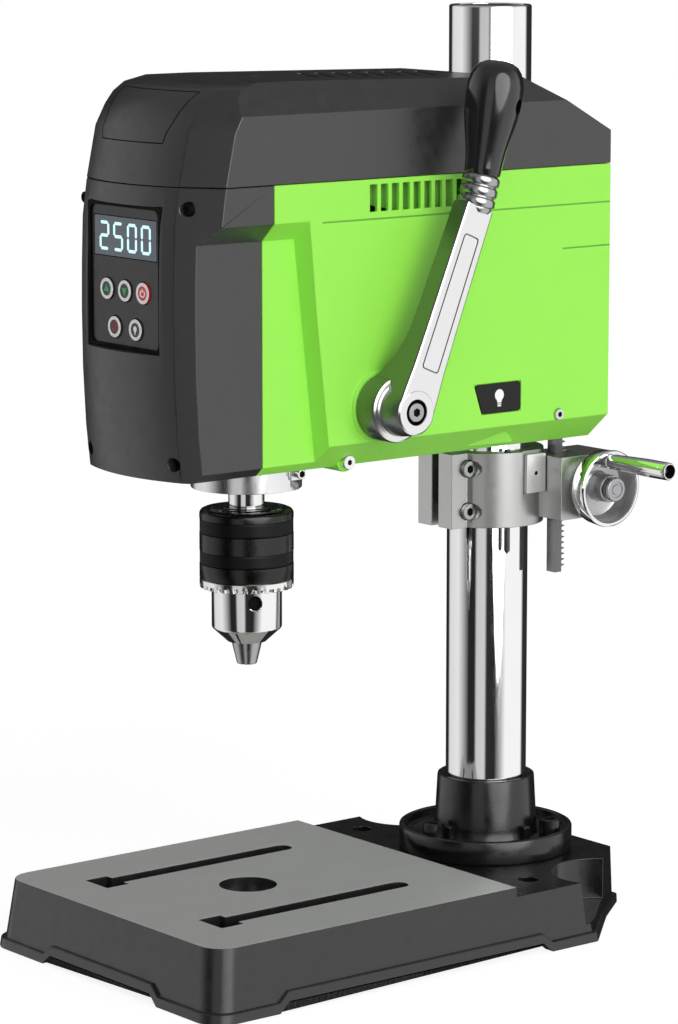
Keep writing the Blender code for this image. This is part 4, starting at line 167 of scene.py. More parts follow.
BLACK = (0.018, 0.018, 0.019)
GREEN = (0.315, 0.84, 0.080)
M = {
    "cast_black": painted_casting("cast_black", (0.013, 0.013, 0.014), 0.28),
    "flange_black": painted_casting("flange_black", (0.006, 0.006, 0.006), 0.22),
    # near-black for dark joint lines and the cover's screws, and also painted shade inside sockets, holes,
    # bores and round the panel's recess
    "void_black": moulded("void_black", (0.002, 0.002, 0.002), 0.60, Specular_IOR_Level=0.1),
    "table": ground_table(),
    "black_plastic": moulded("black_plastic", BLACK, 0.32, Specular_IOR_Level=0.85),
    # a darker copy of the green plastic: painted shade for the vents' floors and the lines under the shells'
    # ledges
    "green_shade": moulded("green_shade", (0.13, 0.40, 0.035), 0.45, grain=0.000012),
    "green_plastic": moulded("green_plastic", GREEN, 0.40, grain=0.000012, vary=0.025),
    "panel_black": moulded("panel_black", (0.012, 0.012, 0.012), 0.30, grain=0.000008),
    "sign_black": moulded("sign_black", (0.004, 0.004, 0.004), 0.35, grain=0.000004, Specular_IOR_Level=0.3),
    "display_glass": shader(
        "display_glass", (0.075, 0.105, 0.135), 0.12, Coat_Weight=0.6, Coat_Roughness=0.04
    ),
    "chrome": metal("chrome", (0.90, 0.90, 0.905), 0.05, (1, 1, 0.1), 0.0000008, 0.02),
    "steel": metal("steel", (0.66, 0.66, 0.67), 0.20, (1, 1, 0.1)),
    "screw_steel": metal("screw_steel", (0.72, 0.72, 0.73), 0.16),
    # a darker, faintly green copy of the arm's brushed steel: painted shade and painted reflection of the
    # green shell on the arm's sides, hub and groove
    "arm_side_shade_steel": metal("arm_side_shade_steel", (0.22, 0.23, 0.215), 0.32, (1, 1, 0.3), 0.0000006, 0.04),
    "dish": metal("dish", (0.46, 0.46, 0.465), 0.30, (1, 1, 1), 0.000003, 0.08),
    "mid_steel": metal("mid_steel", (0.42, 0.42, 0.43), 0.22, (1, 1, 0.1), 0.000003),
    "rack_steel": metal("rack_steel", (0.17, 0.17, 0.172), 0.30, (1, 1, 0.2), 0.000004),
    "dark_steel": metal("dark_steel", (0.10, 0.10, 0.105), 0.28, (1, 1, 0.2)),
    "black_screw": metal("black_screw", (0.035, 0.035, 0.037), 0.30),
    "aluminium": metal("aluminium", (0.50, 0.50, 0.49), 0.32, (1, 1, 0.3), 0.000001, 0.06),
    "bright": metal("bright", (0.88, 0.88, 0.88), 0.10, (1, 1, 1), 0.000001, 0.02),
    "satin": metal("satin", (0.93, 0.93, 0.93), 0.36, (1, 1, 1), 0.000001, 0.02),
    "brushed": metal("brushed", (0.82, 0.82, 0.82), 0.22, (1, 0.1, 0.1), 0.000003, 0.03),
    "sleeve_black": metal("sleeve_black", (0.045, 0.045, 0.047), 0.24, (1, 1, 0.4), 0.000002),
    "knurl_black": metal("knurl_black", (0.020, 0.020, 0.021), 0.42, (1, 1, 1), 0.000004),
    "grip_black": moulded(
        "grip_black", (0.012, 0.012, 0.013), 0.16, grain=0.000003, Coat_Weight=0.5, Coat_Roughness=0.06
    ),
    "black_rubber": moulded("black_rubber", (0.018, 0.018, 0.018), 0.60),
    "board_green": moulded("board_green", (0.02, 0.16, 0.06), 0.45),
    "lens_clear": moulded("lens_clear", (0.82, 0.84, 0.82), 0.15),
    "button_dark": moulded("button_dark", (0.030, 0.030, 0.032), 0.30),
    "button_red": moulded("button_red", (0.72, 0.018, 0.028), 0.28),
    "mark_white": moulded("mark_white", (0.95, 0.95, 0.94), 0.35, grain=0.000004),
    "mark_green": moulded("mark_green", (0.03, 0.42, 0.12), 0.35, grain=0.000004),
    "mark_red": moulded("mark_red", (0.45, 0.02, 0.03), 0.35, grain=0.000004),
    "segment": shader(
        "segment", (0.55, 0.85, 0.88), 0.3, Emission_Color=(0.60, 0.92, 0.95, 1), Emission_Strength=0.75
    ),
}

# mesh helpers


def finish(name, bm, body, mats, stands_for=(), bevel=0.0, angle=32, segments=2):
    """Turns a bmesh into a piece that rides on a body."""
    mesh = bpy.data.meshes.new(name)
    bmesh.ops.recalc_face_normals(bm, faces=bm.faces)
    bm.to_mesh(mesh)
    bm.free()
    return dress(name, mesh, body, mats, stands_for, bevel, angle, segments)


def dress(name, mesh, body, mats, stands_for=(), bevel=0.0, angle=32, segments=2):
    obj = bpy.data.objects.new(name, mesh)
    scene.collection.objects.link(obj)
    for each in [mats] if isinstance(mats, str) else mats:
        mesh.materials.append(M[each])
    mesh.shade_smooth()
    if bevel:
        b = obj.modifiers.new("edges", "BEVEL")
        b.width = bevel
        b.segments = segments
        b.limit_method = "ANGLE"
        b.angle_limit = math.radians(angle)
        b.use_clamp_overlap = False
        even = obj.modifiers.new("even", "WEIGHTED_NORMAL")
        even.weight = 80
    else:
        mesh.set_sharp_from_angle(angle=math.radians(angle))
    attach(obj, body)
    if stands_for:
        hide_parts(*stands_for)
    return obj


def cad_bmesh(node):
    """A node's own solid, welded and with its flat faces whole."""
    bm = bmesh.new()
    bm.from_mesh(NODES[node].data)
    bmesh.ops.remove_doubles(bm, verts=bm.verts, dist=0.000008)
    bmesh.ops.dissolve_limit(
        bm, angle_limit=math.radians(0.6), verts=bm.verts, edges=bm.edges, use_dissolve_boundaries=False
    )
    for e in bm.edges:
        e.smooth = True
    bm.normal_update()
    return bm


def carried(node, mat, bevel=0.0004, angle=32, segments=2, name=None, paint=None, upright=None):
    """The CAD solid with rounded edges and a finish.

    paint(face) gives a material index, and upright is the angle from which edges that run
    up and down are rounded, where it isn't the angle of the others.
    """
    bm = cad_bmesh(node)
    if upright:
        weight = bm.edges.layers.float.new("bevel_weight_edge")
        for e in bm.edges:
            run = e.verts[1].co - e.verts[0].co
            steep = abs(run.z) > 0.55 * run.length
            limit = upright if steep else angle
            if len(e.link_faces) == 2 and e.calc_face_angle() > math.radians(limit):
                e[weight] = 1.0
    for f in bm.faces:
        f.material_index = paint(f) if paint else 0
        f.smooth = True
    mesh = bpy.data.meshes.new(node)
    bm.to_mesh(mesh)
    bm.free()
    if "custom_normal" in mesh.attributes:
        mesh.attributes.remove(mesh.attributes["custom_normal"])
    obj = dress(name or node + "_dressed", mesh, BODY_OF[node], mat, [node], bevel, angle, segments)
    if upright:
        obj.modifiers["edges"].limit_method = "WEIGHT"
    return obj


TURN = {
    "+X": Matrix.Rotation(math.pi / 2, 4, "Y"),
    "-X": Matrix.Rotation(-math.pi / 2, 4, "Y"),
    "+Y": Matrix.Rotation(-math.pi / 2, 4, "X"),
    "-Y": Matrix.Rotation(math.pi / 2, 4, "X"),
    "+Z": Matrix.Identity(4),
    "-Z": Matrix.Rotation(math.pi, 4, "X"),
}


def rings(levels, sides, place, closed=False, bm=None, index=None):
    """Faces through rings of (height, radius). A radius may be a function of the angle.

    Closed joins the last ring to the first.
    """
    bm = bm or bmesh.new()
    rows = []
    for height, radius in levels:
        if radius == 0:
            rows.append([bm.verts.new(place @ Vector((0, 0, height)))])
            continue
        row = []
        for i in range(sides):
            a = 2 * math.pi * i / sides
            r = radius(a) if callable(radius) else radius
            row.append(bm.verts.new(place @ Vector((r * math.cos(a), r * math.sin(a), height))))
        rows.append(row)
    pairs = list(zip(rows, rows[1:])) + ([(rows[-1], rows[0])] if closed else [])
    for number, (a, b) in enumerate(pairs):
        for i in range(sides):
            j = (i + 1) % sides
            if len(a) == 1:
                f = bm.faces.new((a[0], b[i], b[j]))
            elif len(b) == 1:
                f = bm.faces.new((a[i], b[0], a[j]))
            else:
                f = bm.faces.new((a[i], b[i], b[j], a[j]))
            f.material_index = index(number) if index else 0
    return bm


def hexagon(across):
    """Radius of a hexagon, across its flats, at an angle."""
    return lambda a: across / 2 / math.cos((a % (math.pi / 3)) - math.pi / 6)


def placed(at, axis):
    return Matrix.Translation(Vector(at)) @ TURN[axis]


def carve(obj, *cutters):
    """Cuts shapes out of a piece's mesh."""
    for cutter in cutters:
        b = obj.modifiers.new("cut", "BOOLEAN")
        b.operation = "DIFFERENCE"
        b.solver = "EXACT"
        b.object = cutter
    bpy.context.view_layer.update()
    graph = bpy.context.evaluated_depsgraph_get()
    mesh = bpy.data.meshes.new_from_object(obj.evaluated_get(graph))
    obj.modifiers.clear()
    old = obj.data
    obj.data = mesh
    mesh.name = obj.name
    bpy.data.meshes.remove(old)
    for cutter in cutters:
        bpy.data.objects.remove(cutter)
    return obj


def loose(name, bm):
    """An object that only cuts."""
    mesh = bpy.data.meshes.new(name)
    bmesh.ops.recalc_face_normals(bm, faces=bm.faces)
    bm.to_mesh(mesh)
    bm.free()
    obj = bpy.data.objects.new(name, mesh)
    scene.collection.objects.link(obj)
    return obj


def prism(outline, low, high, to_space, bm=None):
    """A flat outline of (u, v) made solid from low to high; to_space gives a point from (u, v, w)."""
    bm = bm or bmesh.new()
    a = [bm.verts.new(to_space(u, v, low)) for u, v in outline]
    b = [bm.verts.new(to_space(u, v, high)) for u, v in outline]
    bm.faces.new(a)
    bm.faces.new(b[::-1])
    for i in range(len(a)):
        j = (i + 1) % len(a)
        bm.faces.new((a[i], b[i], b[j], a[j]))
    return bm


def rounded(width, height, radius, centre=(0, 0), steps=5):
    """A rounded rectangle's outline."""
    points = []
    for sx, sy, start in ((1, -1, -90), (1, 1, 0), (-1, 1, 90), (-1, -1, 180)):
        cx = centre[0] + sx * (width / 2 - radius)
        cy = centre[1] + sy * (height / 2 - radius)
        for k in range(steps + 1):
            a = math.radians(start + 90 * k / steps)
            points.append((cx + radius * math.cos(a), cy + radius * math.sin(a)))
    return points


def softened(corners, radius, steps=4):
    """A polygon's outline with its corners rounded."""
    points = []
    count = len(corners)
    for k, corner in enumerate(corners):
        here = Vector(corner)
        before = (Vector(corners[k - 1]) - here).normalized()
        after = (Vector(corners[(k + 1) % count]) - here).normalized()
        half = before.angle(after) / 2
        start = here + before * radius / math.tan(half)
        end = here + after * radius / math.tan(half)
        for step in range(steps + 1):
            t = step / steps
            points.append(tuple(start * (1 - t) ** 2 + here * 2 * t * (1 - t) + end * t**2))
    return points


def frame_prism(outer, inner, low, high, to_space):
    """A flat frame between two outlines with the same number of points."""
    bm = bmesh.new()
    loops = []
    for outline, level in ((outer, low), (outer, high), (inner, high), (inner, low)):
        loops.append([bm.verts.new(to_space(u, v, level)) for u, v in outline])
    n = len(outer)
    for a, b in zip(loops, loops[1:] + loops[:1]):
        for i in range(n):
            j = (i + 1) % n
            bm.faces.new((a[i], b[i], b[j], a[j]))
    return bm


def seam(name, node, points, inward, body, mat="void_black", radius=0.0003, sunk=0.0002, closed=False):
    """A fine dark line drawn over a node's surface, which it finds by looking inward: a joint line, or
    painted shadow under a ledge.
    """
    look = Vector(inward)
    bm = cad_bmesh(node)
    tree = BVHTree.FromBMesh(bm)
    bm.free()
    spots = []
    ends = points + points[:1] if closed else points
    for a, b in zip(ends, ends[1:]):
        a, b = Vector(a), Vector(b)
        count = max(2, int((b - a).length / 0.002))
        for k in range(count):
            at, normal, _, _ = tree.ray_cast(a.lerp(b, k / count) - look * 0.2, look)
            if at:
                spots.append((at, normal))
    if not closed:
        at, normal, _, _ = tree.ray_cast(Vector(ends[-1]) - look * 0.2, look)
        if at:
            spots.append((at, normal))
    bm = bmesh.new()
    rows = []
    for k, (at, normal) in enumerate(spots):
        following = spots[(k + 1) % len(spots)][0] if closed or k + 1 < len(spots) else at
        earlier = spots[k - 1][0] if closed or k else at
        run = (following - earlier).normalized()
        across = run.cross(normal).normalized()
        centre = at - normal * sunk
        rows.append([
            bm.verts.new(centre + radius * (math.cos(a) * normal + math.sin(a) * across))
            for a in [2 * math.pi * i / 8 for i in range(8)]
        ])
    for a, b in zip(rows, rows[1:] + (rows[:1] if closed else [])):
        for i in range(8):
            j = (i + 1) % 8
            bm.faces.new((a[i], b[i], b[j], a[j]))
    if not closed:
        bm.faces.new(rows[0])
        bm.faces.new(rows[-1][::-1])
    return finish(name, bm, body, mat, angle=60)


# screws

BARE_SCREWS = {
    # node: axis of its head, head radius, head height, socket across flats, material
    "flange_screw_1": ("+Z", 0.0058, 0.0100, 0.0050, "flange_black"),
    "flange_screw_2": ("+Z", 0.0058, 0.0100, 0.0050, "flange_black"),
    "flange_screw_3": ("+Z", 0.0058, 0.0100, 0.0050, "flange_black"),
    "clamp_screw_upper": ("+X", 0.0045, 0.0050, 0.0040, "mid_steel"),
    "clamp_screw_lower": ("+X", 0.0045, 0.0050, 0.0040, "mid_steel"),
    "shell_screw_rear": ("+X", None, 0.0026, 0.0026, "screw_steel"),
    "shell_screw_front": ("+X", 0.0037, 0.0035, 0.0026, "bright"),
    "cover_screw_1": ("-Y", None, 0.0030, 0.0026, "void_black"),
    "cover_screw_2": ("-Y", None, 0.0030, 0.0026, "void_black"),
    "cover_screw_3": ("-Y", None, 0.0030, 0.0026, "void_black"),
    "cover_screw_4": ("-Y", None, 0.0030, 0.0026, "void_black"),
    "column_set_screw": ("+Y", None, 0.0, 0.0030, "black_screw"),
    "collar_clamp_screw": ("+X", None, 0.0040, 0.0032, "bright"),
    "lever_screw": ("+X", 0.0050, 0.0040, 0.0040, "mid_steel"),
}
AXIS = {"X": 0, "Y": 1, "Z": 2}


def socket_screw(node, axis, head, height, socket, mat):
    low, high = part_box(node)
    k = AXIS[axis[1]]
    side = 1 if axis[0] == "+" else -1
    centre = (low + high) / 2
    length = high[k] - low[k]
    others = [i for i in range(3) if i != k]
    reach = max(high[i] - low[i] for i in others) / 2
    head = head or reach
    top = centre.copy()
    top[k] += side * length / 2
    shank = min(head * 0.62, reach * 0.62)
    if height == 0:
        height, shank = length * 0.3, head * 0.999
    edge = head * 0.10
    depth = min(height * 0.62, length * 0.5)
    levels = [
        (-depth - socket * 0.25, 0),
        (-depth, hexagon(socket)),
        (-0.0002, hexagon(socket)),
        (0.0, hexagon(socket * 1.08)),
        (0.0, head - 2 * edge),
        (-edge * 0.3, head - edge * 0.6),
        (-edge, head),
        (-height + edge * 0.4, head),
        (-height, head - edge * 0.4),
        (-height, shank),
        (-length + shank * 0.4, shank),
        (-length, shank * 0.6),
        (-length, 0),
    ]
    bm = rings(levels, 48, placed(top, axis))
    screw = finish(node + "_turned", bm, BODY_OF[node], mat, stands_for=[node], angle=28)
    # a black plug halfway down its socket: painted shade standing for the socket's dark depth
    bottom = placed(top, axis)
    floor = rings(
        [(-depth - socket * 0.2, 0), (-depth * 0.45, hexagon(socket * 0.99)), (-depth * 0.45, 0)],
        48, bottom,
    )
    finish(node + "_socket_shade", floor, BODY_OF[node], "void_black")
    return screw


for each, (axis, head, height, socket, mat) in BARE_SCREWS.items():
    socket_screw(each, axis, head, height, socket, mat)

# base

TABLE_Z, FOOT_LIP = 0.038, 0.0056
TABLE_REAR = 0.0485


def base_finish(normal, at):
    """The ground table, the thick enamel of the deck behind it, and the enamel of the walls."""
    if normal.z > 0.99 and at.z > TABLE_Z - 0.0004:
        return 1
    behind = at.y > TABLE_REAR and (normal.z > 0.9 or abs(normal.x) < 0.97)
    return 2 if behind else 0


carried(
    "base_casting",
    ["cast_black", "table", "flange_black"],
    0.0005,
    paint=lambda f: base_finish(f.normal, f.calc_center_median()),
)


def base_plan(z, grow):
    """The right half of the base's outline at a height, front to rear, with each point's arch."""
    rise = z / TABLE_Z
    half = 0.0997 - 0.0045 * rise + grow
    front = -0.1572 + 0.0045 * rise - grow
    rear = 0.1632 - 0.0022 * rise + grow
    shoulder = 0.1002 - 0.0045 * rise + grow
    arch = 0.0052
    points = [(0, front, arch), (0.030, front, arch), (0.0450, front, arch), (0.0515, front, 0)]
    for k in range(9):
        a = math.radians(-90 + 90 * k / 8)
        points.append((half - 0.014 + 0.014 * math.cos(a), front + 0.014 + 0.014 * math.sin(a), 0))
    points += [(half, -0.1164, 0), (half, -0.1099, arch), (half, -0.03, arch), (half, 0.0631, arch)]
    points += [(half, 0.0696, 0), (half, shoulder, 0)]
    points += [(0.066 + grow, 0.137 + grow, 0), (0.046 + grow, rear, 0)]
    points.append((0, rear, 0))
    return points


def foot_lip():
    """The raised band round the foot, which steps up over the arches."""
    bm = bmesh.new()
    rows = []
    for share, grow in (
        (0.0, -0.0008), (0.0, 0.0016), (0.08, 0.00185), (0.90, 0.00185), (1.0, 0.0014), (1.0, -0.0008)
    ):
        ring = []
        for (x, y, arch), (x1, y1, _) in zip(base_plan(0, grow), base_plan(TABLE_Z, grow)):
            z = arch + 0.00005 + share * FOOT_LIP
            t = z / TABLE_Z
            ring.append((x + (x1 - x) * t, y + (y1 - y) * t, z))
        full = ring + [(-x, y, z) for x, y, z in ring[-2:0:-1]]
        rows.append([bm.verts.new(p) for p in full])
    n = len(rows[0])
    for a, b in zip(rows, rows[1:] + rows[:1]):
        for i in range(n):
            j = (i + 1) % n
            bm.faces.new((a[i], a[j], b[j], b[i]))
    return finish("base_foot_lip", bm, "base", "cast_black", angle=30)


foot_lip()

# flange and column

COLUMN = (0, 0.108, 0)


def make_flange():
    levels = [
        (0.0333, 0.0228),
        (0.0738, 0.0228),
        (0.0741, 0.0243),
        (0.0751, 0.0247),
        (0.0753, 0.0252),
        (0.0753, 0.0263),
        (0.0749, 0.0269),
        (0.0742, 0.0271),
        (0.0470, 0.0286),
        (0.0430, 0.0290),
        (0.0418, 0.0297),
        (0.0414, 0.0312),
        (0.0413, 0.0440),
        (0.0418, 0.0448),
        (0.0457, 0.0451),
        (0.0463, 0.0457),
        (0.0463, 0.0474),
        (0.0459, 0.0482),
        (0.0452, 0.0485),
        (0.0345, 0.0485),
        (0.0333, 0.0480),
    ]
    bm = rings(levels, 144, placed(COLUMN, "+Z"), closed=True)
    finish("column_flange_turned", bm, "base", "flange_black", ["column_flange"], angle=40)
    bm = bmesh.new()
    for degrees in (-82, 5, 95, 185):
        a = math.radians(degrees)
        out, across = Vector((math.cos(a), math.sin(a), 0)), Vector((-math.sin(a), math.cos(a), 0))
        shape = [(0.0280, 0.0410), (0.0325, 0.0410), (0.0325, 0.0485), (0.0318, 0.0492), (0.0280, 0.0492)]
        prism(shape, -0.0022, 0.0022, lambda u, v, w: Vector((0, 0.108, v)) + out * u + across * w, bm)
    finish("flange_ribs", bm, "base", "flange_black", bevel=0.0003)


make_flange()

levels = [
    (0.0335, 0.0200), (0.5022, 0.0200), (0.5030, 0.0205), (0.5030, 0.0217),
    (0.5027, 0.0222), (0.5020, 0.0225), (0.0335, 0.0225)
]
finish(
    "column_tube_turned", rings(levels, 144, placed(COLUMN, "+Z"), closed=True), "column",
    "chrome", ["column_tube"], angle=40,
)
low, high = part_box("column_plug")
levels = [
    (low.z, 0), (low.z, 0.0196), (high.z - 0.0004, 0.0196), (high.z, 0.0192), (high.z, 0.0150),
    (high.z - 0.0006, 0.0146), (high.z - 0.0006, 0),
]
finish(
    "column_plug_turned", rings(levels, 96, placed(COLUMN, "+Z")), "column",
    "black_plastic", ["column_plug"],
)

# lift

carried("lift_bracket", "aluminium", 0.0004)
carried("lift_lock_block", "satin", 0.0002)
carried("height_stop_screw", "dark_steel", 0.0002, angle=40)
carried("crank_shaft", "steel", 0.0002, angle=40)
carried("lift_rack", "rack_steel", 0.0002, angle=25)
low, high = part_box("lift_lock_block")
# a black disc inside the lock block's hole: painted shade for the hole's dark depth
hole = [(high.x - 0.0030, 0), (high.x - 0.0030, 0.00155), (high.x - 0.0002, 0.00155), (high.x - 0.0002, 0)]
lock_hole = placed((0, (low.y + high.y) / 2, (low.z + high.z) / 2), "+X")
finish("lock_hole_shade", rings(hole, 28, lock_hole), "bracket", "void_black")
CRANK = Vector((0, 0.145, 0.240))


def make_crank():
    low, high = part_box("crank_wheel")
    back, front = low.x, high.x
    place = placed((0, CRANK.y, CRANK.z), "+X")
    levels = [
        (back, 0.0036),
        (back, 0.0150),
        (back + 0.0030, 0.0190),
        (back + 0.0060, 0.0204),
        (front - 0.0014, 0.0213),
        (front - 0.0004, 0.0210),
        (front, 0.0204),
        (front, 0.0192),
        (front - 0.0006, 0.0188),
        (back + 0.0070, 0.0178),
        (back + 0.0040, 0.0160),
        (back + 0.0032, 0.0135),
        (back + 0.0032, 0.0090),
        (back + 0.0040, 0.0080),
        (front - 0.0008, 0.0075),
        (front, 0.0070),
        (front, 0.0036),
    ]
    wheel = rings(levels, 96, place, closed=True, index=lambda k: 1 if 8 <= k <= 13 else 0)
    finish("crank_wheel_turned", wheel, "crank", ["chrome", "dish"], ["crank_wheel"])
    low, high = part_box("crank_grip_pin")
    pin_y, pin_z = (low.y + high.y) / 2, (low.z + high.z) / 2
    at = placed((0, pin_y, pin_z), "+X")
    boss = [
        (back + 0.0030, 0), (back + 0.0030, 0.0040), (front - 0.0006, 0.0042),
        (front, 0.0038), (front, 0.0),
    ]
    finish("crank_boss", rings(boss, 48, at), "crank", "chrome")
    pin = [
        (low.x, 0), (low.x, 0.0022), (low.x + 0.0003, 0.0024),
        (high.x - 0.0004, 0.0024), (high.x, 0.0020), (high.x, 0),
    ]
    finish("crank_pin_turned", rings(pin, 32, at), "crank", "steel", ["crank_grip_pin"])
    low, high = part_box("crank_grip")
    span = high.x - low.x
    grip = [
        (low.x, 0.0030),
        (low.x, 0.0038),
        (low.x + 0.0005, 0.0042),
        (low.x + 0.15 * span, 0.0043),
        (low.x + 0.35 * span, 0.0046),
        (low.x + 0.60 * span, 0.0049),
        (high.x - 0.0030, 0.0049),
        (high.x - 0.0006, 0.0048),
        (high.x, 0.0044),
        (high.x, 0.0039),
        (high.x - 0.0005, 0.0037),
        (high.x - 0.0060, 0.0030),
    ]
    # the inside of the grip's bore is painted black as shade
    grip = rings(grip, 64, at, closed=True, index=lambda k: 1 if k >= 10 else 0)
    finish("crank_grip_turned", grip, "crank_handle", ["chrome", "void_black"], ["crank_grip"])
    low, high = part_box("crank_nut")
    nut = [
        (low.x, 0),
        (low.x, 0.0066),
        (low.x + 0.0003, 0.0068),
        (high.x - 0.0010, 0.0068),
        (high.x - 0.0002, 0.0062),
        (high.x, 0.0056),
        (high.x, 0.0044),
        (high.x - 0.0005, 0.0041),
        (high.x - 0.0005, 0.0030),
        (high.x, 0.0026),
        (high.x, 0),
    ]
    finish("crank_nut_turned", rings(nut, 64, place), "crank", "mid_steel", ["crank_nut"])


make_crank()

# head casing

carried("right_shell", "green_plastic", 0.0005, angle=20)
carried("left_shell", "green_plastic", 0.0005, angle=20)
carried("front_cover", "black_plastic", 0.0005, angle=20, upright=9)
carried("top_cover", "black_plastic", 0.0005, angle=20, upright=9)


def casing_lines():
    """The vents' floors and lines under the shells' ledges, both in darker green as painted shade, and the
    visor's joint in the top cover.
    """
    for side, shell in ((1, "right_shell"), (-1, "left_shell")):
        name = shell.split("_")[0]
        # the vents' floors, in darker green as painted shade
        floor = prism(
            [(-0.0330, 0.3965), (0.0500, 0.3965), (0.0500, 0.4170), (-0.0330, 0.4170)],
            0.0535,
            0.0545,
            lambda u, v, w: Vector((side * w, u, v)),
        )
        finish(f"vent_floor_{name}", floor, "head", "green_shade")
        inward = (-side, 0, 0)
        # darker green lines painted as the shadow under the shells' ledges
        long = [(0, -0.0560, 0.3980), (0, 0.1425, 0.3980)]
        seam(f"ledge_{name}", shell, long, inward, "head", "green_shade", 0.0006, 0.0004)
        short = [(0, 0.1085, 0.3745), (0, 0.1425, 0.3745)]
        seam(f"ledge_short_{name}", shell, short, inward, "head", "green_shade", 0.0006, 0.0004)
        bm = cad_bmesh(shell)
        tree = BVHTree.FromBMesh(bm)
        bm.free()
        look = Vector(inward)
        spots = []
        for y, z, out in (
            (0.0640, 0.2870, 0.0), (0.0480, 0.2705, 0.0), (0.0860, 0.2705, 0.0), (0.0790, 0.2710, 0.0052)
        ):
            at = tree.ray_cast(Vector((side * 0.2, y, z)), look)[0]
            spots.append(at + look * (0.0003 - out))
        bm = bmesh.new()
        corners = [bm.verts.new(at) for at in spots]
        for trio in ((0, 1, 3), (0, 3, 2), (1, 2, 3), (0, 2, 1)):
            bm.faces.new([corners[k] for k in trio])
        finish(f"gusset_{name}", bm, "head", "green_plastic", bevel=0.0004)
    visor = [(-0.0262, 0, 0.4400), (0.0262, 0, 0.4400), (0.0325, 0, 0.4655), (-0.0325, 0, 0.4655)]
    seam("visor_joint", "top_cover", visor, (0, 1, 0), "head", radius=0.0004, closed=True)


casing_lines()
low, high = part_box("lighting_plate")
slanted = [(low.y + 0.0055, low.z), (high.y, low.z), (high.y, high.z), (low.y, high.z)]
sign = prism(softened(slanted, 0.0022), low.x, high.x + 0.0002, lambda u, v, w: Vector((w, u, v)))
finish("lighting_plate_rounded", sign, "head", "sign_black", ["lighting_plate"], bevel=0.0002)
frame_piece = carried("head_frame", "brushed", 0.0004)
bm = bmesh.new()
bmesh.ops.create_cube(bm, size=1.0)
bmesh.ops.transform(
    bm,
    matrix=Matrix.Translation((0.0325, -0.0485, 0.2540)) @ Matrix.Diagonal((0.030, 0.014, 0.0130, 1)),
    verts=bm.verts,
)
lug_room = loose("lug_room", bm)
collar = rings(
    [(0.2450, 0), (0.2450, 0.0295), (0.2650, 0.0295), (0.2650, 0)], 96, placed((0, -0.060, 0), "+Z")
)
carve(lug_room, loose("collar", collar))
carve(frame_piece, lug_room)
for f in frame_piece.data.polygons:
    f.material_index = 0
frame_piece.data.set_sharp_from_angle(angle=math.radians(32))
carried("work_light_lens", "lens_clear", 0.0003)
carried("motor_housing", "steel", 0.0006)
carried("motor_pulley", "aluminium", 0.0003)
carried("spindle_pulley", "aluminium", 0.0003)
carried("drive_belt", "black_rubber", 0.0003)
carried("control_board", "board_green", 0.0002)

# control panel

low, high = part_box("control_panel")
FACE_Y = low.y
carried("control_panel", "panel_black", 0.0003)
carried("display_window", "display_glass", 0.0002)


def on_panel(u, v, w):
    return Vector((u, FACE_Y - w, v))


# a black frame round the panel: painted shade standing for the dark walls of its recess
outer = rounded(0.0628, 0.0748, 0.0012, (0, 0.3708))
inner = rounded(0.0592, 0.0712, 0.0035, (0, 0.3708))
finish("panel_recess_shade", frame_prism(outer, inner, -0.0004, 0.0011, on_panel), "head", "void_black", angle=30)


def digits(text, centre_z, width, height, gap, bar):
    """Seven-segment figures, as the display lights them."""
    lit = {"0": "abcdef", "2": "abged", "5": "afgcd"}
    bm = bmesh.new()
    total = len(text) * width + (len(text) - 1) * gap
    for number, figure in enumerate(text):
        x = -total / 2 + width / 2 + number * (width + gap)
        for part in lit[figure]:
            level = {"a": 1, "g": 0, "d": -1}.get(part)
            if level is not None:
                cx, cz, along, across = x, centre_z + level * (height - bar) / 2, width - bar, 0
            else:
                cx = x + (width - bar) / 2 * (1 if part in "bc" else -1)
                cz = centre_z + (height - bar) / 4 * (1 if part in "bf" else -1)
                along, across = 0, (height - bar) / 2
            long = max(along, across) / 2 - 0.0002
            shape = [
                (-long, 0), (-long + bar / 2, bar / 2), (long - bar / 2, bar / 2),
                (long, 0), (long - bar / 2, -bar / 2), (-long + bar / 2, -bar / 2),
            ]
            if across:
                shape = [(v, u) for u, v in shape]
            prism([(cx + u, cz + v) for u, v in shape], 0.0001, 0.00022, on_panel, bm)
    return finish("display_digits", bm, "head", "segment")


digits("2500", 0.39075, 0.0085, 0.0150, 0.0036, 0.0016)


def triangle(size, up):
    s = size if up else -size
    return [(-size * 0.85, -s * 0.55), (size * 0.85, -s * 0.55), (0, s)]


def power_sign(r):
    """A ring open at the top and a bar, as one outline each."""
    ring = [(r * math.sin(a), r * math.cos(a)) for a in [math.radians(40 + 280 * k / 24) for k in range(25)]]
    ring += [
        (0.68 * r * math.sin(a), 0.68 * r * math.cos(a))
        for a in [math.radians(320 - 280 * k / 24) for k in range(25)]
    ]
    return [ring, [(-0.16 * r, 0.15 * r), (0.16 * r, 0.15 * r), (0.16 * r, 1.1 * r), (-0.16 * r, 1.1 * r)]]


def bulb_sign(r):
    """A bulb: a round glass that narrows to its cap, with two rings under it."""
    glass = []
    for k in range(21):
        a = math.radians(-55 + 290 * k / 20)
        glass.append((r * math.cos(a), 0.35 * r + r * math.sin(a)))
    glass += [(-0.42 * r, -0.95 * r), (0.42 * r, -0.95 * r)]
    bars = [
        [(-0.42 * r, z * r), (0.42 * r, z * r), (0.42 * r, (z + 0.2) * r), (-0.42 * r, (z + 0.2) * r)]
        for z in (-1.30, -1.62)
    ]
    return [glass, *bars]


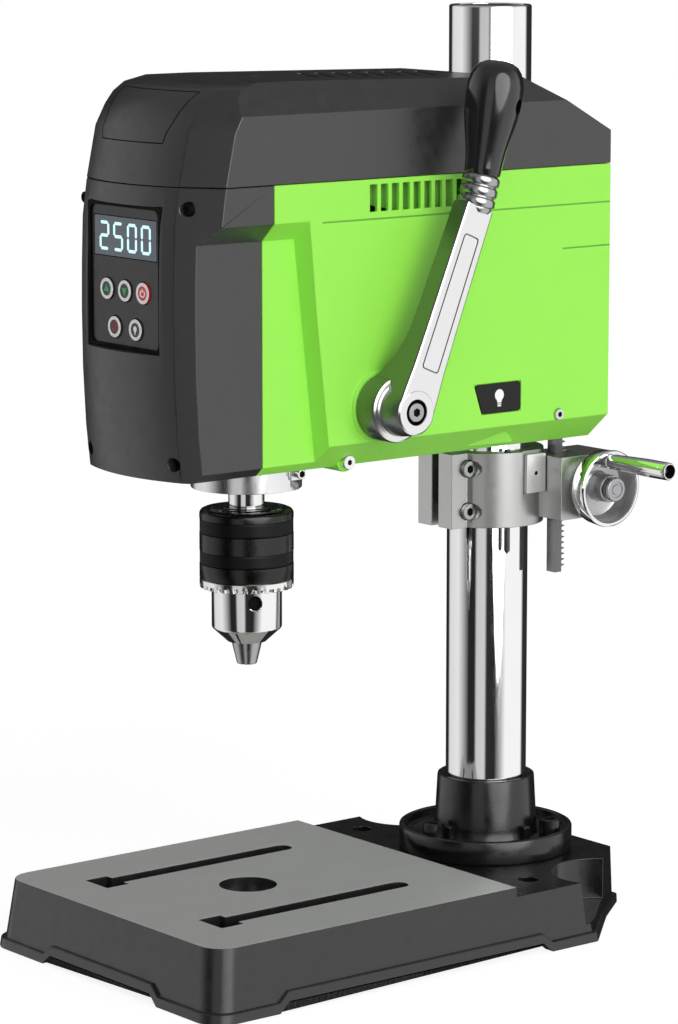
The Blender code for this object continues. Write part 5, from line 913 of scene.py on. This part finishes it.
SIGNS = {
    "button_speed_up": ("button_dark", "mark_green", [triangle(0.0026, True)]),
    "button_speed_down": ("button_dark", "mark_green", [triangle(0.0026, False)]),
    "button_power": ("button_red", "mark_white", power_sign(0.0022)),
    "button_start": ("button_dark", "mark_red", power_sign(0.0022)),
    "button_light": ("button_dark", "steel", bulb_sign(0.0015)),
}
for node, (mat, mark, outlines) in SIGNS.items():
    low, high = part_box(node)
    x, z, face = (low.x + high.x) / 2, (low.z + high.z) / 2, low.y
    r, depth = (high.x - low.x) / 2, high.y - low.y
    place = placed((x, face, z), "-Y")
    levels = [
        (-0.00015, 0),
        (-0.00012, r * 0.55),
        (-0.00004, r * 0.67),
        (0.0, r * 0.70),
        (0.0, r * 0.97),
        (-0.0002, r * 0.99),
        (-0.0004, r),
        (-depth, r),
        (-depth, 0),
    ]
    finish(
        node + "_cap", rings(levels, 64, place, index=lambda k: 1 if k in (2, 3, 4) else 0),
        BODY_OF[node], [mat, "mark_white"], [node],
    )
    bm = bmesh.new()
    for outline in outlines:
        prism(outline, -0.00014, 0.00002, lambda u, v, w: Vector((x + u, face - w, z + v)), bm)
    sign = finish(node + "_sign", bm, BODY_OF[node], mark)

# the sign on the light's plate
low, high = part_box("lighting_plate")
bm = bmesh.new()
for outline in bulb_sign(0.0031):
    prism(outline, -0.00005, 0.00035, lambda u, v, w: Vector((high.x + w, 0.0640 + u, 0.2978 + v)), bm)
finish("lighting_sign", bm, "head", "mark_white")

# quill, spindle, chuck

carried("quill", "steel", 0.0002, angle=25)
carried("lower_bearing", "steel", 0.0003)
carried("upper_bearing", "steel", 0.0003)
SPINDLE = (0, -0.060, 0)
low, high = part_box("spindle_shaft")
levels = [(low.z, 0), (low.z, 0.0085), (0.2434, 0.0085), (0.2434, 0.0096), (0.2557, 0.0096), (0.2557, 0.0085)]
levels += [(0.3640, 0.0085), (0.3640, 0.0070), (high.z - 0.0005, 0.0070), (high.z, 0.0065), (high.z, 0)]
finish(
    "spindle_turned", rings(levels, 72, placed(SPINDLE, "+Z")), "spindle", "chrome",
    ["spindle_shaft"],
)


def make_chuck():
    place = placed(SPINDLE, "+Z")
    top, low = 0.2433, 0.2059
    radius = 0.0250

    def band(z_top, z_low, rows, first):
        """A knurled band: rows of points that stand in and out by turns."""
        out = []
        for k in range(rows + 1):
            phase = k + first
            out.append(
                (
                    z_top + (z_low - z_top) * k / rows,
                    lambda a, p=phase: radius - 0.00045 + 0.0003 * ((round(a * 90 / math.pi) + p) % 2),
                )
            )
        return out

    levels = [
        (low, 0.0196),
        (top - 0.0006, 0.0196),
        (top, 0.0198),
        (top, 0.0204),
        (top - 0.0006, 0.0206),
        (top - 0.0006, 0.0212),
        (top - 0.0002, 0.0215),
        (top - 0.0004, 0.0228),
        (top - 0.0010, 0.0241),
        (top - 0.0020, 0.0248),
        (top - 0.0030, radius),
        (top - 0.0053, radius),
        (top - 0.0055, radius - 0.0005),
        *band(top - 0.0057, top - 0.0127, 8, 0),
        (top - 0.0129, radius - 0.0005),
        (top - 0.0131, radius),
        (top - 0.0223, radius),
        (top - 0.0225, radius - 0.0005),
        *band(top - 0.0227, top - 0.0291, 8, 1),
        (top - 0.0293, radius - 0.0005),
        (top - 0.0295, radius),
        (low + 0.0005, radius),
        (low, radius - 0.0005),
    ]
    knurled = []
    for k, (z, r) in enumerate(levels):
        knurled.append(callable(r))
    index = lambda k: 1 if k < len(knurled) - 1 and (knurled[k] or knurled[k + 1]) else 0
    bm = rings(levels, 180, place, closed=True, index=index)
    finish(
        "chuck_sleeve_turned", bm, "chuck_ring", ["sleeve_black", "knurl_black"],
        ["chuck_sleeve"], angle=50,
    )
    # the toothed ring under the sleeve: bevel teeth that a chuck key drives
    teeth = 32
    ring_top, ring_low = 0.2058, 0.2009

    def tooth(depth, base):
        def at(a):
            share = (a * teeth / (2 * math.pi)) % 1.0
            return base - depth * max(0.0, 1 - abs(share - 0.5) / 0.3)
        return at

    ring = [
        (ring_low, 0.0196),
        (ring_top, 0.0196),
        (ring_top, 0.0246),
        (ring_top - 0.0004, radius),
        (ring_low + 0.0026, radius),
        (ring_low + 0.0020, tooth(0.0004, radius)),
        (ring_low + 0.0002, tooth(0.0034, radius - 0.0002)),
        (ring_low, tooth(0.0036, radius - 0.0004)),
    ]
    finish("chuck_teeth", rings(ring, 320, place, closed=True), "chuck_ring", "bright", angle=30)
    body = [
        (0.2253, 0),
        (0.2253, 0.0088),
        (0.2433, 0.0088),
        (0.2433, 0.0180),
        (0.2429, 0.0192),
        (0.2007, 0.0192),
        (0.2004, 0.0188),
        (0.1990, 0.0187),
        (0.1798, 0.0187),
        (0.1790, 0.0184),
        (0.1784, 0.0178),
        (0.1724, 0.0112),
        (0.1716, 0.0104),
        (0.1716, 0),
    ]
    chuck = finish(
        "chuck_body_turned", rings(body, 120, place), "spindle", "chrome", ["chuck_body"],
        angle=30,
    )
    holes = []
    for degrees in (-23, 97, 217):
        turn = Matrix.Rotation(math.radians(degrees), 4, "Z")
        at = Matrix.Translation((0, -0.060, 0.1945)) @ turn @ Matrix.Translation((0.0154, 0, 0)) @ TURN["+X"]
        key = [(0, 0), (0.0002, 0.0036), (0.0026, 0.0036), (0.0034, 0.0044), (0.006, 0.0044), (0.006, 0)]
        holes.append(loose("key_hole", rings(key, 40, at)))
    # the jaws close in a cone and draw back up along its slope
    slope = math.tan(math.radians(14))
    bore = [(0.1700, 0), (0.1700, 0.0083), (0.1716, 0.0083), (0.1936, 0.0083 + 0.0220 * slope), (0.1936, 0)]
    holes.append(loose("jaw_bore", rings(bore, 60, place)))
    carve(chuck, *holes)
    chuck.data.materials.append(M["void_black"])
    # faces inside the key holes and the jaws' bore are painted black as shade
    for f in chuck.data.polygons:
        out = math.hypot(f.center.x, f.center.y + 0.060)
        in_key = 0.1900 < f.center.z < 0.1990 and out < 0.0181
        in_bore = 0.1717 < f.center.z < 0.1940 and out < 0.0100 + (f.center.z - 0.1716) * 0.28
        f.material_index = 1 if in_key or in_bore else 0
    chuck.data.set_sharp_from_angle(angle=math.radians(30))
    # the recessed rings on top of the chuck
    disc = [
        (0.2433, 0.0090), (0.2441, 0.0092), (0.2441, 0.0128), (0.2435, 0.0132),
        (0.2435, 0.0150), (0.2439, 0.0153), (0.2439, 0.0172), (0.2433, 0.0178),
    ]
    finish("chuck_top_rings", rings(disc, 96, place, closed=True), "spindle", "sleeve_black")


make_chuck()
JAW = [
    (0.1592, 0.0046), (0.1596, 0.0051), (0.1716, 0.0080), (0.1740, 0.0086), (0.1740, 0.0030),
    (0.1592, 0.0012),
]
for number in (1, 2, 3):
    bm = bmesh.new()
    middle = 2 * math.pi * (number - 1) / 3
    rows = []
    for k in range(17):
        a = middle + math.radians(-60 + 120 * k / 16)
        row = []
        for z, r in JAW:
            back = 0.0003 / math.sin(math.radians(60))
            x = back * math.cos(middle) + r * math.cos(a)
            y = back * math.sin(middle) + r * math.sin(a)
            row.append(bm.verts.new((x, -0.060 + y, z)))
        rows.append(row)
    for a, b in zip(rows, rows[1:]):
        for i in range(len(JAW)):
            j = (i + 1) % len(JAW)
            bm.faces.new((a[i], b[i], b[j], a[j]))
    bm.faces.new(rows[0])
    bm.faces.new(rows[-1][::-1])
    finish(
        f"chuck_jaw_{number}_ground", bm, f"jaw_{number}", "mid_steel",
        [f"chuck_jaw_{number}"], bevel=0.00015,
    )

# feed lever

FEED = Vector((0, -0.018, 0.300))
LEAN = math.radians(22.5)
ARM_X0, ARM_X1 = 0.0760, 0.0900


def arm_point(along, across, x):
    return Vector((
        x,
        FEED.y + along * math.sin(LEAN) + across * math.cos(LEAN),
        FEED.z + along * math.cos(LEAN) - across * math.sin(LEAN),
    ))


def make_lever():
    carried("feed_shaft", "steel", 0.0002, angle=25)
    bm = bmesh.new()
    # the arm, as a stack of sections up its length: (along, half width, back face)
    sections = [
        (0.0000, 0.0120, 0.0700),
        (0.0090, 0.0117, 0.0640),
        (0.0150, 0.0113, 0.0640),
        (0.0180, 0.0111, 0.0652),
        (0.0210, 0.0109, 0.0674),
        (0.0245, 0.0107, 0.0698),
        (0.0290, 0.0106, 0.0722),
        (0.0345, 0.0105, 0.0742),
        (0.0420, 0.0103, 0.0756),
        (0.0540, 0.0101, 0.0763),
        (0.1120, 0.0093, 0.0775),
    ]
    rows = []
    for along, half, back in sections:
        e = 0.0012
        shape = [
            (-half + e, ARM_X1), (-half + 0.35 * e, ARM_X1 - 0.35 * e), (-half, ARM_X1 - e),
            (-half, back + e), (-half + e, back), (half - e, back), (half, back + e),
            (half, ARM_X1 - e), (half - 0.35 * e, ARM_X1 - 0.35 * e), (half - e, ARM_X1),
        ]
        rows.append([bm.verts.new(arm_point(along, a, x)) for a, x in shape])
    n = len(rows[0])
    bm.faces.new(rows[0])
    bm.faces.new(rows[-1][::-1])
    for a, b in zip(rows, rows[1:]):
        for i in range(n):
            j = (i + 1) % n
            bm.faces.new((a[i], a[j], b[j], b[i]))
    arm = finish(
        "lever_arm_shaded_sides", bm, "feed_lever", ["arm_side_shade_steel", "brushed", "void_black"],
        ["lever_arm"], angle=40,
    )
    place = placed(FEED, "+X")
    hub = [
        (0.0620, 0.0000),
        (0.0620, 0.0168),
        (0.0626, 0.0175),
        (0.0745, 0.0175),
        (0.0757, 0.0170),
        (0.0763, 0.0160),
        (0.0763, 0.0146),
        (0.0768, 0.0138),
        (0.0830, 0.0132),
        (0.0880, 0.0124),
        (0.0896, 0.0119),
        (0.0902, 0.0110),
        (0.0902, 0.0000),
    ]
    hub_piece = loose("hub", rings(hub, 120, place))
    union = arm.modifiers.new("hub", "BOOLEAN")
    union.operation = "UNION"
    union.solver = "EXACT"
    union.object = hub_piece
    bpy.context.view_layer.update()
    mesh = bpy.data.meshes.new_from_object(arm.evaluated_get(bpy.context.evaluated_depsgraph_get()))
    arm.modifiers.clear()
    arm.data = mesh
    bpy.data.objects.remove(hub_piece)
    # the outlined panel in the arm's face, and the seat of its screw
    outer = softened([(0.0225, -0.0059), (0.0965, -0.0053), (0.0965, 0.0053), (0.0225, 0.0059)], 0.0022)
    inner = softened([(0.0233, -0.0051), (0.0957, -0.0045), (0.0957, 0.0045), (0.0233, 0.0051)], 0.0015)
    groove = frame_prism(outer, inner, ARM_X1 - 0.0007, ARM_X1 + 0.002, lambda u, v, w: arm_point(u, v, w))
    seat = rings(
        [(0.0862, 0), (0.0862, 0.0066), (0.0899, 0.0066), (0.0903, 0.0070), (0.092, 0.0070), (0.092, 0)],
        64, place,
    )
    carve(arm, loose("groove", groove), loose("seat", seat))
    # front faces take the bright brushed steel; the sides, hub and groove floor take its darker copy as
    # painted shade and reflection
    for f in arm.data.polygons:
        c = f.center
        from_axis = math.hypot(c.y - FEED.y, c.z - FEED.z)
        sunk = ARM_X1 - 0.0012 < c.x < ARM_X1 - 0.0002 and f.normal.x > 0.9 and from_axis > 0.018
        # the screw's seat is painted black as shade
        if from_axis < 0.00665 and c.x < 0.0899:
            f.material_index = 2
        else:
            f.material_index = 1 if f.normal.x > 0.8 and not sunk else 0
    arm.data.shade_smooth()
    arm.data.set_sharp_from_angle(angle=math.radians(28))
    # ferrule and grip, in their own frames up the arm
    foot = arm_point(0.112 + 0.015 + 0.0022, 0, (ARM_X0 + ARM_X1) / 2)
    place = Matrix.Translation(foot) @ Matrix.Rotation(math.radians(-16), 4, "X")
    profile = [(-0.0198, 0.0), (-0.0198, 0.0078), (-0.0176, 0.0090)]
    for k in range(3):
        z = -0.0170 + k * 0.0057
        for up, out in (
            (0, 0.0088), (0.0004, 0.0095), (0.0012, 0.0100), (0.0040, 0.0100), (0.0048, 0.0095),
            (0.0052, 0.0088),
        ):
            profile.append((z + up, out))
    profile += [(0.0002, 0.0084), (0.0006, 0.0)]
    finish(
        "lever_ferrule_turned", rings(profile, 72, place), "feed_lever", "mid_steel",
        ["lever_ferrule"], angle=50,
    )
    foot = arm_point(0.112 + 0.015 + 0.0022, 0, (ARM_X0 + ARM_X1) / 2)
    place = Matrix.Translation(foot) @ Matrix.Rotation(math.radians(-11), 4, "X")
    shares = [
        (0, 0), (0, 0.60), (0.015, 0.635), (0.06, 0.648), (0.10, 0.66), (0.20, 0.705),
        (0.30, 0.78), (0.42, 0.88), (0.52, 0.95), (0.62, 0.985), (0.70, 1.0), (0.78, 0.985),
        (0.85, 0.93), (0.91, 0.83), (0.955, 0.69), (0.985, 0.47), (0.997, 0.25), (1.0, 0),
    ]
    grip = finish(
        "lever_grip_turned", rings([(0.060 * h, 0.015 * r) for h, r in shares], 96, place),
        "feed_lever", "grip_black", ["lever_grip"], angle=60,
    )
    at = place @ Matrix.Translation((-0.03, 0.0065, 0.62 * 0.060)) @ TURN["+X"]
    hole = rings(
        [(0, 0), (0, 0.0031), (0.06, 0.0031), (0.06, 0)], 40, at @ Matrix.Diagonal((1.35, 1.0, 1.0, 1.0))
    )
    carve(grip, loose("hole", hole))
    grip.data.shade_smooth()
    grip.data.set_sharp_from_angle(angle=math.radians(50))


make_lever()

# floor, light, camera

bm = bmesh.new()
bmesh.ops.create_grid(bm, x_segments=2, y_segments=2, size=6.0)
mesh = bpy.data.meshes.new("floor")
bm.to_mesh(mesh)
bm.free()
floor = bpy.data.objects.new("floor", mesh)
floor.location.z = -0.0002
scene.collection.objects.link(floor)
fm = bpy.data.materials.new("floor")
fm.use_nodes = True
nt = fm.node_tree
out = nt.nodes["Material Output"]
base = nt.nodes["Principled BSDF"]
base.inputs["Base Color"].default_value = (0.86, 0.86, 0.86, 1)
base.inputs["Roughness"].default_value = 0.9
glow = nt.nodes.new("ShaderNodeEmission")
glow.inputs["Color"].default_value = (1, 1, 1, 1)
glow.inputs["Strength"].default_value = 1.22
path = nt.nodes.new("ShaderNodeLightPath")
share = nt.nodes.new("ShaderNodeMath")
share.operation = "MULTIPLY"
share.inputs[1].default_value = 0.72
mix = nt.nodes.new("ShaderNodeMixShader")
nt.links.new(path.outputs["Is Camera Ray"], share.inputs[0])
nt.links.new(share.outputs[0], mix.inputs["Fac"])
nt.links.new(base.outputs[0], mix.inputs[1])
nt.links.new(glow.outputs[0], mix.inputs[2])
nt.links.new(mix.outputs[0], out.inputs["Surface"])
mesh.materials.append(fm)
floor.visible_glossy = False

# The studio has even soft light on matt surfaces, and a white sweep with dark flags round it,
# which polished metal mirrors.
CAMERA_AZ = math.radians(51.4)
world = bpy.data.worlds.new("studio")
scene.world = world
world.use_nodes = True
nt = world.node_tree
background = nt.nodes["Background"]
at = nt.nodes.new("ShaderNodeTexCoord")
apart = nt.nodes.new("ShaderNodeSeparateXYZ")
nt.links.new(at.outputs["Generated"], apart.inputs[0])
bearing = nt.nodes.new("ShaderNodeMath")
bearing.operation = "ARCTAN2"
nt.links.new(apart.outputs["Y"], bearing.inputs[0])
nt.links.new(apart.outputs["X"], bearing.inputs[1])
# bearing of the camera from the object, so that 0.5 on the ramp is straight back at the first view
turn = nt.nodes.new("ShaderNodeMath")
turn.operation = "SUBTRACT"
turn.inputs[1].default_value = math.atan2(-math.cos(CAMERA_AZ), math.sin(CAMERA_AZ))
nt.links.new(bearing.outputs[0], turn.inputs[0])
wrap = nt.nodes.new("ShaderNodeMath")
wrap.operation = "WRAP"
wrap.inputs[1].default_value = math.pi
wrap.inputs[2].default_value = -math.pi
nt.links.new(turn.outputs[0], wrap.inputs[0])
to_ramp = nt.nodes.new("ShaderNodeMapRange")
to_ramp.inputs["From Min"].default_value = -math.pi
to_ramp.inputs["From Max"].default_value = math.pi
nt.links.new(wrap.outputs[0], to_ramp.inputs["Value"])
ramp = nt.nodes.new("ShaderNodeValToRGB")
ramp.color_ramp.interpolation = "LINEAR"
FLAGS = [
    (-180, 0.02), (-140, 0.02), (-130, 0.75), (-90, 0.85), (-76, 0.55), (-54, 0.02),
    (-36, 0.02), (-30, 0.62), (-8, 0.66),
    (-2, 0.03), (22, 0.02), (38, 0.45), (54, 1.0), (112, 1.0), (122, 0.03), (180, 0.02),
]
ramp.color_ramp.elements.remove(ramp.color_ramp.elements[1])
for number, (degrees, value) in enumerate(FLAGS):
    spot = (degrees + 180) / 360
    element = ramp.color_ramp.elements[0] if number == 0 else ramp.color_ramp.elements.new(spot)
    element.position = spot
    element.color = (value, value, value, 1)
nt.links.new(to_ramp.outputs["Result"], ramp.inputs["Fac"])
# overhead the sweep closes to an even light grey
height = nt.nodes.new("ShaderNodeMapRange")
height.inputs["From Min"].default_value = 0.25
height.inputs["From Max"].default_value = 0.75
nt.links.new(apart.outputs["Z"], height.inputs["Value"])
over = nt.nodes.new("ShaderNodeMix")
over.data_type = "RGBA"
over.inputs["B"].default_value = (0.30, 0.30, 0.30, 1)
nt.links.new(height.outputs["Result"], over.inputs["Factor"])
nt.links.new(ramp.outputs["Color"], over.inputs["A"])
path = nt.nodes.new("ShaderNodeLightPath")
plain = nt.nodes.new("ShaderNodeMix")
plain.data_type = "RGBA"
plain.inputs["A"].default_value = (0.30, 0.30, 0.30, 1)
nt.links.new(path.outputs["Is Glossy Ray"], plain.inputs["Factor"])
nt.links.new(over.outputs["Result"], plain.inputs["B"])
seen = nt.nodes.new("ShaderNodeMix")
seen.data_type = "RGBA"
seen.inputs["B"].default_value = (1, 1, 1, 1)
straight = nt.nodes.new("ShaderNodeMath")
straight.operation = "MAXIMUM"
nt.links.new(path.outputs["Is Camera Ray"], straight.inputs[0])
nt.links.new(path.outputs["Is Transmission Ray"], straight.inputs[1])
nt.links.new(straight.outputs[0], seen.inputs["Factor"])
nt.links.new(plain.outputs["Result"], seen.inputs["A"])
nt.links.new(seen.outputs["Result"], background.inputs["Color"])
background.inputs["Strength"].default_value = 1.0


def sun(name, strength, angle, towards):
    lamp = bpy.data.lights.new(name, "SUN")
    lamp.energy = strength
    lamp.angle = math.radians(angle)
    obj = bpy.data.objects.new(name, lamp)
    scene.collection.objects.link(obj)
    obj.rotation_euler = Vector(towards).to_track_quat("Z", "Y").to_euler()
    return obj


sun("key", 2.3, 60, (1.0, -0.12, 0.42))

camera = bpy.data.cameras.new("camera")
view = bpy.data.objects.new("camera", camera)
scene.collection.objects.link(view)
camera.sensor_fit = "VERTICAL"
camera.sensor_height = 36.0
camera.lens = 3975.0 / 1024 * 36.0
camera.clip_end = 50
elevation = math.radians(9.57)
along = Vector((
    -math.sin(CAMERA_AZ) * math.cos(elevation),
    math.cos(CAMERA_AZ) * math.cos(elevation),
    -math.sin(elevation),
))
view.location = (1.6499, -1.3145, 0.5900)
view.rotation_euler = along.to_track_quat("-Z", "Y").to_euler()
scene.camera = view
scene.view_settings.view_transform = "Standard"
